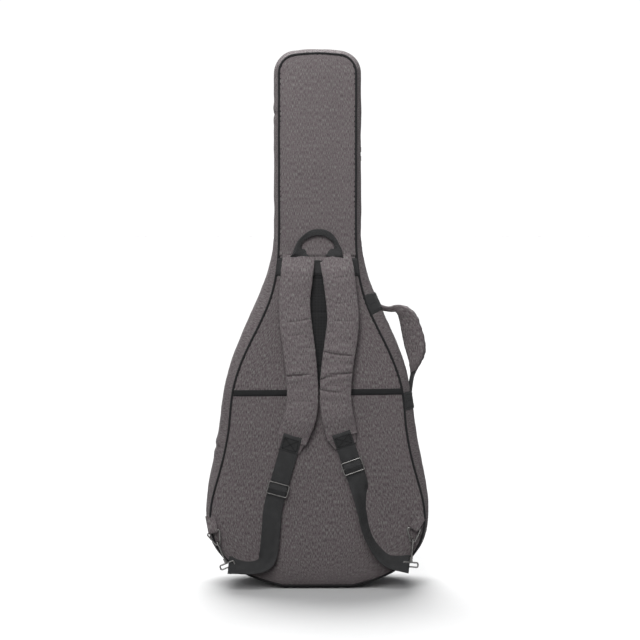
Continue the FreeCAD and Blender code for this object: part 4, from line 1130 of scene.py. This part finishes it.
def make_ring_tab(side, spec):
    """A tab of the bag's cloth, from the piping to the flat side of the ring, which it wraps."""
    low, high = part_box(side + "_ring")
    eye, foot, seam = (np.array(spec[name], float) * MM for name in ("eye", "ring_foot", "tab_seam"))
    bar = foot + unit(foot - eye) * 28 * MM
    level = (low[1] + high[1]) / 2
    depths = [-73.5 * MM, -79 * MM, level - 2.6 * MM, level - 1.8 * MM, level + 2.4 * MM,
              -80.5 * MM, -75.5 * MM]
    places = [seam, seam + (bar - seam) * 0.45, bar + (seam - bar) * 0.12, bar - unit(seam - bar) * 2.4 * MM,
              bar - unit(seam - bar) * 0.4 * MM, bar + (seam - bar) * 0.3, seam + (bar - seam) * 0.25]
    path = spline([(place[0], y, place[1]) for place, y in zip(places, depths)], 60)
    toward = unit(bar - seam)
    across = np.broadcast_to([-toward[1], 0.0, toward[0]], path.shape)
    heading = unit(np.gradient(path, axis=0))
    outward = unit(np.cross(heading, across))
    width = (21 - 3 * np.linspace(0, 1, 60)) * MM
    section = rounded(1, 2.2 * MM, 0.4, 18)[None] * np.stack([width, np.ones(60)], axis=1)[:, None]
    pieces = [band(side + "_ring_tab", swept(path, across, outward, section), SHELL, None, "shell_fabric",
                   "ring_tabs")]
    stitched = slice(0, 22)
    for name, edge in (("left", -1), ("right", 1)):
        reach = width[stitched, None] / 2 - 1.6 * MM
        line = path[stitched] + across[stitched] * edge * reach - np.abs(outward[stitched]) * (0, 1.1 * MM, 0)
        pieces.append(stitches(f"{side}_tab_{name}_stitches", line, BACKWARD, None))
    start, end = (seam[0], -0.078, seam[1]), (bar[0], -0.083, bar[1])
    for piece in pieces:
        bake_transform(piece)
        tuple(start)
        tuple(end)


for side_name, side_spec in STRAPS.items():
    make_adjuster(side_name, side_spec)
    make_ring_tab(side_name, side_spec)


# ---------------------------------------------------------------- side handle

SIDE_LEVEL = -44 * MM


def gusset_patch(name, level, reach):
    """A patch of webbing sewn on the right gusset, with a stitched border and cross rows."""
    skin = SKIN["case"][1:, :HALF_COUNT]
    columns = np.flatnonzero(np.abs(LINE[:HALF_COUNT, 1] - level) < reach)
    depths = np.linspace(PATCH_BACK, PATCH_FRONT, 13)
    out = at_depth(NORMAL[columns], 0.0)
    grid = np.empty((len(depths), len(columns), 3))
    for k, column in enumerate(columns):
        order = np.argsort(skin[:, column, 1])
        line = skin[order, column]
        for axis in (0, 2):
            grid[:, k, axis] = np.interp(depths, line[:, 1], line[:, axis])
        grid[:, k, 1] = depths
    lift = np.full(grid.shape[:2], 2.3 * MM)
    lift[[0, -1]] = -0.6 * MM
    lift[:, [0, -1]] = -0.6 * MM
    grid = grid + out[None] * lift[..., None]
    sewn(name, grid, WEBBING, "case", "webbing", "side_handle_patches")
    inner = slice(2, -2)
    for number, row in enumerate((1, -2)):
        line = grid[row, inner] + out[inner] * 0.1 * MM
        stitches(f"{name}_stitches_{number}", line, out[inner], "case")
    for number, column in enumerate((2, len(columns) // 2, -3)):
        line = grid[1:-1, column] + out[column] * 0.1 * MM
        stitches(f"{name}_cross_{number}", line, out[column], "case")


def lying_section(inner, outer, lean):
    """Middle, across and outward of a band given by its two edges as seen from behind."""
    inner, outer = np.asarray(inner, float) * MM, np.asarray(outer, float) * MM
    middle = (inner + outer) / 2
    width = np.linalg.norm(outer - inner, axis=1)
    flat = (outer - inner) / width[:, None]
    across = np.stack([flat[:, 0] * np.cos(lean), -np.sin(lean), flat[:, 1] * np.cos(lean)], axis=1)
    outward = np.stack([-flat[:, 0] * np.sin(lean), -np.cos(lean), -flat[:, 1] * np.sin(lean)], axis=1)
    return at_depth(middle, SIDE_LEVEL), across, outward, width / np.cos(lean)


def make_side_handle():
    """A webbing strap between the two patches, inside a padded grip that leans towards the harness side."""
    # x and z in mm of the inner and the outer edge, and the lean in degrees, from the upper patch down
    edges = [(125, 565, 125, 575, 40), (136, 562, 136, 571.5, 40), (148, 560, 148, 571, 30),
             (157, 560, 161, 574, 20), (163, 556, 183, 569, 25), (170.5, 528, 207, 537, 26),
             (180, 483, 218, 483, 26), (189.5, 440, 205, 447, 25), (187, 424, 197.5, 431, 22),
             (183.5, 405, 193.5, 411, 20), (181.5, 392, 191.5, 394, 30), (180, 380, 191, 380, 40)]
    count = 220
    fine = spline(edges, count)
    path, wide, face, width = lying_section(fine[:, :2], fine[:, 2:4], np.radians(fine[:, 4]))

    def tube(name, part, widths, thickness, corner, sides, material, slot, node_name=None, ripple=0.0):
        sizes = np.stack([widths, np.ones(count)], axis=1)
        section = rounded(1, thickness, corner, sides)[None] * sizes[:, None]
        points = swept(path[part], wide[part], face[part], section[part])
        if ripple:
            points = points + face[part, None] * wobble(points, 90, ripple, 5.0)[..., None]
        return band(name, points, material, "side_handle", slot, *([node_name] if node_name else []))

    first = int(np.argmin(np.abs(fine[:, 0] - 158) + 1e3 * (fine[:, 1] < 500)))
    last = int(np.argmin(np.abs(fine[:, 1] - 436)))
    tube("side_handle_web", slice(2, -2), np.minimum(width, 19 * MM), 2.4 * MM, 0.35, 16, WEBBING, "webbing",
         "side_handle_webbing")
    sleeve = tube("side_handle_sleeve", slice(3, first + 8), width, 6.4 * MM, 0.5, 20, SHELL, "shell_fabric",
                  ripple=1.0 * MM)
    part = slice(first, last + 1)
    path, wide, face, width = path[part], wide[part], face[part], width[part, None]
    share = np.linspace(0, 1, last + 1 - first)
    ends = np.minimum(smooth_step(share, -0.02, 0.12), smooth_step(1 - share, -0.02, 0.12))
    thick = (6 + 9 * ends)[:, None] * MM
    section = rounded(1, 1, 0.6, 40)
    side = section[None, :, 0]
    grid = swept(path, wide, face, section[None] * np.concatenate([width, thick], axis=1)[:, None])
    grid = settled(grid, (np.abs(side) > 0.48) | (share[:, None] < 0.03) | (share[:, None] > 0.97))
    gathers = 0.5 * MM * np.sin(share[:, None] * 60 + 5 * side) * np.exp(-((np.abs(side) - 0.5) / 0.12) ** 2)
    swell = wobble(grid, 40, 1.2 * MM, 8.0) + gathers
    normal = unit(face[:, None] * section[None, :, 1:] + wide[:, None] * section[None, :, :1] * 0.5)
    grid = grid + normal * swell[..., None]
    padding = band("side_handle_padding", grid, SHELL, "side_handle", "shell_fabric", "side_handle_grip")
    inside = path - wide * (width / 2 - 0.8 * MM) - face * 1.5 * MM
    trimmed = slice(4, -2)
    edge = swept(inside[trimmed], wide[trimmed], face[trimmed], rounded(4.5 * MM, 7 * MM, 0.8, 12))
    band("side_handle_lining_edge", edge, BINDING, "side_handle", "binding")
    for number, place in enumerate((-0.36, 0.38)):
        top = path + wide * width * place + face * thick * 0.44
        stitches(f"side_grip_stitches_{number}", top[8:-8], face[8:-8], "side_handle",
                 material=GREY_THREAD)


gusset_patch("side_patch_high", 0.575, 0.023)
gusset_patch("side_patch_low", 0.379, 0.021)
make_side_handle()


# ---------------------------------------------------------------- pockets on the lid

def on_lid(x, z, lift):
    """Points over the lid's leaning face."""
    x, z, lift = np.broadcast_arrays(np.asarray(x, float), np.asarray(z, float), np.asarray(lift, float))
    return np.stack([x, lid_face(z) + lift, z], axis=-1)


def smooth_loop(line, count, passes):
    """A closed line with even spacing and rounded corners."""
    line = resample(np.concatenate([line, line[:1]]), count + 1)[:-1]
    for _ in range(passes):
        line = (np.roll(line, 1, axis=0) + 2 * line + np.roll(line, -1, axis=0)) / 4
    return line


def clipped_outline(inset, low, high):
    """The bag's outline moved inwards and cut off level, as the accessory pocket is."""
    right = rim(-inset)[:HALF_COUNT]
    right = right[right[:, 1] < high]
    right[:, 1] = np.maximum(right[:, 1], low)
    width = right[-1, 0]
    top = np.stack([np.linspace(width, -width, 40), np.full(40, high)], axis=1)
    return smooth_loop(np.concatenate([right, top, right[::-1] * (-1, 1)]), 420, 14)


def rounded_rectangle(half, low, high, passes):
    corners = np.array([(half, low), (half, high), (-half, high), (-half, low), (half, low)])
    return smooth_loop(resample(corners, 300), 240, passes)


def width_inside(line, levels):
    """Half the width of a closed line at each height."""
    right = line[line[:, 0] > 0]
    return np.array([right[np.argsort(np.abs(right[:, 1] - level))[:5], 0].max() for level in levels])


def make_pocket(node_name, line_at, depth, seed, near_zip):
    """A puffed pocket: gusseted sides, a crowned face with piping round it, sewn on the lid."""
    low, high = (corner[2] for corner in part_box(node_name))
    rows = []
    for inward, share in [(0, 0.0), (-0.4, 0.15), (0.0, 0.45), (0.7, 0.72), (2.4, 0.88), (5.5, 0.97)]:
        line = line_at(inward * MM)
        rows.append(on_lid(line[:, 0], line[:, 1], share * depth + (2.4 if share > 0 else 1.0) * MM))
    side = np.array(rows)
    normal = unit(np.stack([side[2, :, 0], 0 * side[2, :, 0], side[2, :, 2] - (low + high) / 2], axis=1))
    side = side + normal[None] * wobble(side, 45, 1.2 * MM, seed)[..., None]
    sewn(node_name + "_side", side, SHELL, "lid", "shell_fabric", wrap_columns=True)
    rimline = line_at(5.5 * MM)
    levels = levels_between(rimline[:, 1].min() + 0.3 * MM, rimline[:, 1].max() - 0.3 * MM, 6 * MM)
    x = width_inside(rimline, levels)[:, None] * spread(48)
    z = np.broadcast_to(levels[:, None], x.shape)
    edge = distance_to(rimline[::2], x, z)
    soft = wobble(np.stack([x, 0 * x, z], axis=-1), 12, 2.6 * MM, seed) * np.clip(edge / 0.03, 0, 1)
    puff = 4.5 * MM * (1 - np.exp(-edge / (14 * MM))) + soft
    sink = near_zip(x, z)
    face = on_lid(x, z, depth * 0.97 + 2.0 * MM + puff * (1 - sink) + sink * 0.2 * MM)
    face = settled(face, (edge < 2.5 * MM) | (sink > 0.3), (0, 1, 0), False, 2.0)
    sewn(node_name + "_face", face, SHELL, "lid", "shell_fabric", node_name)
    line = line_at(4.6 * MM)
    cord = on_lid(line[:, 0], line[:, 1], depth * 0.97 + 2.2 * MM)
    tube_round(node_name + "_piping", cord, 2.1 * MM, "lid")


def pocket_zip(name, start, end, node_name, depth):
    """A closed zip on a pocket's face: tape, two rows of teeth and stitched edges."""
    line = resample([start, end], 60)
    middle = on_lid(line[:, 0], line[:, 1], depth)
    heading = unit(middle[-1] - middle[0])
    out = unit(np.array([0.0, 1.0, (LID_LOW - LID_HIGH) / BAG_TOP]))
    side = np.cross(heading, out)
    shape = [(-12, -0.6), (-11, 0.5), (-4, 0.9), (-3, 0.7), (3, 0.7), (4, 0.9), (11, 0.5), (12, -0.6)]
    tape = np.stack([middle + side * a * MM + out * b * MM for a, b in shape])
    sewn(name + "_tape", tape, TAPE, "lid", "zip_tape", node_name)
    up = np.broadcast_to(out, middle.shape)
    for number, way in enumerate((1, -1)):
        teeth_along(f"{name}_teeth_{number}", middle + side * way * 3 * MM + out * 1.0 * MM,
                    np.broadcast_to(-side * way, middle.shape), up, 2.4 * MM, "lid", 0.6 * MM * way)
        seam = middle + side * way * 9.5 * MM + out * 0.75 * MM
        stitches(f"{name}_stitches_{number}", seam, up, "lid")


FRONT_LOW, FRONT_HIGH = (corner[2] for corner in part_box("front_pocket"))
NECK_LOW, NECK_HIGH = (corner[2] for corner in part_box("neck_pocket"))
NECK_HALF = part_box("neck_pocket")[1][0]
ZIP_LEVEL = 0.436       # height of the accessory pocket's zip


def front_line(inward):
    return clipped_outline(17 * MM + inward, FRONT_LOW + inward, FRONT_HIGH - inward)


def neck_line(inward):
    half = NECK_HALF - 0.5 * MM - inward
    return rounded_rectangle(half, NECK_LOW + inward, NECK_HIGH - 1 * MM - inward, 26)


def near_front_zip(x, z):
    """1 on the zip's tape, 0 away from it."""
    return np.exp(-((z - ZIP_LEVEL) / 0.013) ** 4) * np.exp(-(x / 0.126) ** 12)


def near_neck_zip(x, z):
    return np.exp(-(x / 0.0125) ** 4) * np.exp(-((z - 0.801) / 0.136) ** 12)


make_pocket("front_pocket", front_line, 22 * MM, 3.0, near_front_zip)
make_pocket("neck_pocket", neck_line, 14 * MM, 6.0, near_neck_zip)
pocket_zip("front_zip", (-0.118, ZIP_LEVEL), (0.118, ZIP_LEVEL), "front_pocket_zip", 24.6 * MM)
pocket_zip("neck_zip", (0, 0.672), (0, 0.930), "neck_pocket_zip", 16.9 * MM)


# ---------------------------------------------------------------- pads inside the bag

# How far along a block each row of its outline is, and how far in, in mm.
BLOCK_ROWS = [(0.0, 5.0), (0.02, 2.2), (0.06, 0.8), (0.12, 0), (0.3, 0), (0.5, -0.4), (0.7, 0), (0.88, 0),
              (0.94, 0.8), (0.98, 2.2), (1.0, 5.0)]


def padded_block(name, outline, low, high, axis_order, material, slot, node_name, seed):
    """A padded block: a closed outline carried between two levels, rounded at both ends."""
    outline = smooth_loop(resample(np.array(outline, float) * MM, 200), 150, 10)
    centre = outline.mean(axis=0)
    inset = unit(outline - centre)
    rows = []
    for level, shrink in BLOCK_ROWS:
        line = outline - inset * shrink * MM
        place = np.full(len(line), low + (high - low) * level)
        rows.append(np.stack([line[:, 0], line[:, 1], place], axis=1)[:, axis_order])
    grid = np.array(rows)
    grid = grid + wobble(grid, 60, 0.8 * MM, seed)[..., None] * (0.3, 0.6, 0.3)
    band(name, grid, material, "case", slot, node_name)


# Outlines in mm: the cradle's in x and y, the bumper's in x and z.
CRADLE = [(-56, -57.5), (-56, -22), (-35, -22), (-30, -27), (-22, -39), (-10, -46), (0, -48), (10, -46),
          (22, -39), (30, -27), (35, -22), (56, -22), (56, -57.5), (0, -57.5), (-56, -57.5)]
BUMPER = [(-66, 20.6), (-66, 32), (-58, 33.4), (0, 31.8), (58, 33.4), (66, 32), (66, 20.6), (0, 20.2),
          (-66, 20.6)]
padded_block("neck_cradle_pad", CRADLE, 0.8006, 0.8694, [0, 1, 2], LINING_CLOTH, "lining", "neck_cradle", 2.0)
padded_block("tail_bumper_pad", BUMPER, -0.0575, -0.0025, [0, 2, 1], RUBBER, "bumper", "tail_bumper", 5.0)


# ---------------------------------------------------------------- finishes of the frame's own parts

def finish_nodes():
    """The frame's metal parts keep their shape and get their finish here."""
    names = [f"{side}_{part}" for side in ("left", "right")
             for part in ("snap_eye", "snap_hook", "snap_gate", "ring")]
    names += [f"{place}_{part}" for place in ("upper_main", "lower_main", "front_pocket", "neck_pocket")
              for part in ("slider", "pull")]
    for name in names:
        for slot_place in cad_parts[name].material_slots:
            slot_place.material = DARK_NICKEL


finish_nodes()


# ---------------------------------------------------------------- light and floor

def set_world():
    """An even white studio: the backdrop is white to the eye and gives a softer light."""
    world = bpy.data.worlds.new("studio")
    world.use_nodes = True
    tree = world.node_tree
    soft = tree.nodes["Background"]
    soft.inputs["Color"].default_value = (0.95, 0.97, 1.0, 1)
    soft.inputs["Strength"].default_value = 0.3
    white = node(tree, "Background", {"Color": (1, 1, 1, 1), "Strength": 1.05})
    seen = node(tree, "LightPath").outputs["Is Camera Ray"]
    mix = node(tree, "MixShader", {0: seen, 1: soft.outputs[0], 2: white.outputs[0]})
    tree.links.new(mix.outputs[0], tree.nodes["World Output"].inputs["Surface"])
    bpy.context.scene.world = world


def add_sun(name, direction, angle, strength):
    """A broad light from a direction, whose disc is some degrees wide."""
    light = bpy.data.lights.new(name, "SUN")
    light.angle = math.radians(angle)
    light.energy = strength
    add_aimed(name, light, -Vector(direction))


def add_area(name, place, target, size, power):
    light = bpy.data.lights.new(name, "AREA")
    light.shape = "DISK"
    light.size = size
    light.energy = power
    add_aimed(name, light, Vector(target) - Vector(place), place)


FLOOR_LEVEL = -0.6 * MM      # just under the lowest cloth


def make_floor():
    """A plain pale floor, darker to light that bounces off it so that it doesn't light the bag from below."""
    points = np.array([[(x, y, FLOOR_LEVEL) for y in np.linspace(-30, 60, 5)]
                       for x in np.linspace(-40, 40, 5)])
    material, tree, shader = new_material("studio_floor", (0.9, 0.9, 0.9), 0.8)
    shader.inputs["Specular IOR Level"].default_value = 0.1
    grain = noise_value(tree, object_place(tree, (40, 40, 40)), 3.0)
    tree.links.new(span(tree, grain, 0.3, 0.7, 0.75, 0.85), shader.inputs["Roughness"])
    bounced = node(tree, "LightPath").outputs["Is Diffuse Ray"]
    color = blend_color(tree, bounced, (0.48, 0.48, 0.48), (0.15, 0.15, 0.15))
    tree.links.new(color, shader.inputs["Base Color"])
    floor = add_grid("studio_floor", points, material, None)


bpy.context.scene.view_settings.view_transform = "Standard"
set_world()
make_floor()
add_sun("overhead", (-0.08, 0.6, 1.0), 46, 6.3)
add_sun("key", (-0.25, -1.0, 0.6), 32, 1.42)
add_area("top", (-0.15, -1.0, 1.75), (0, 0, 0.7), 0.7, 15)
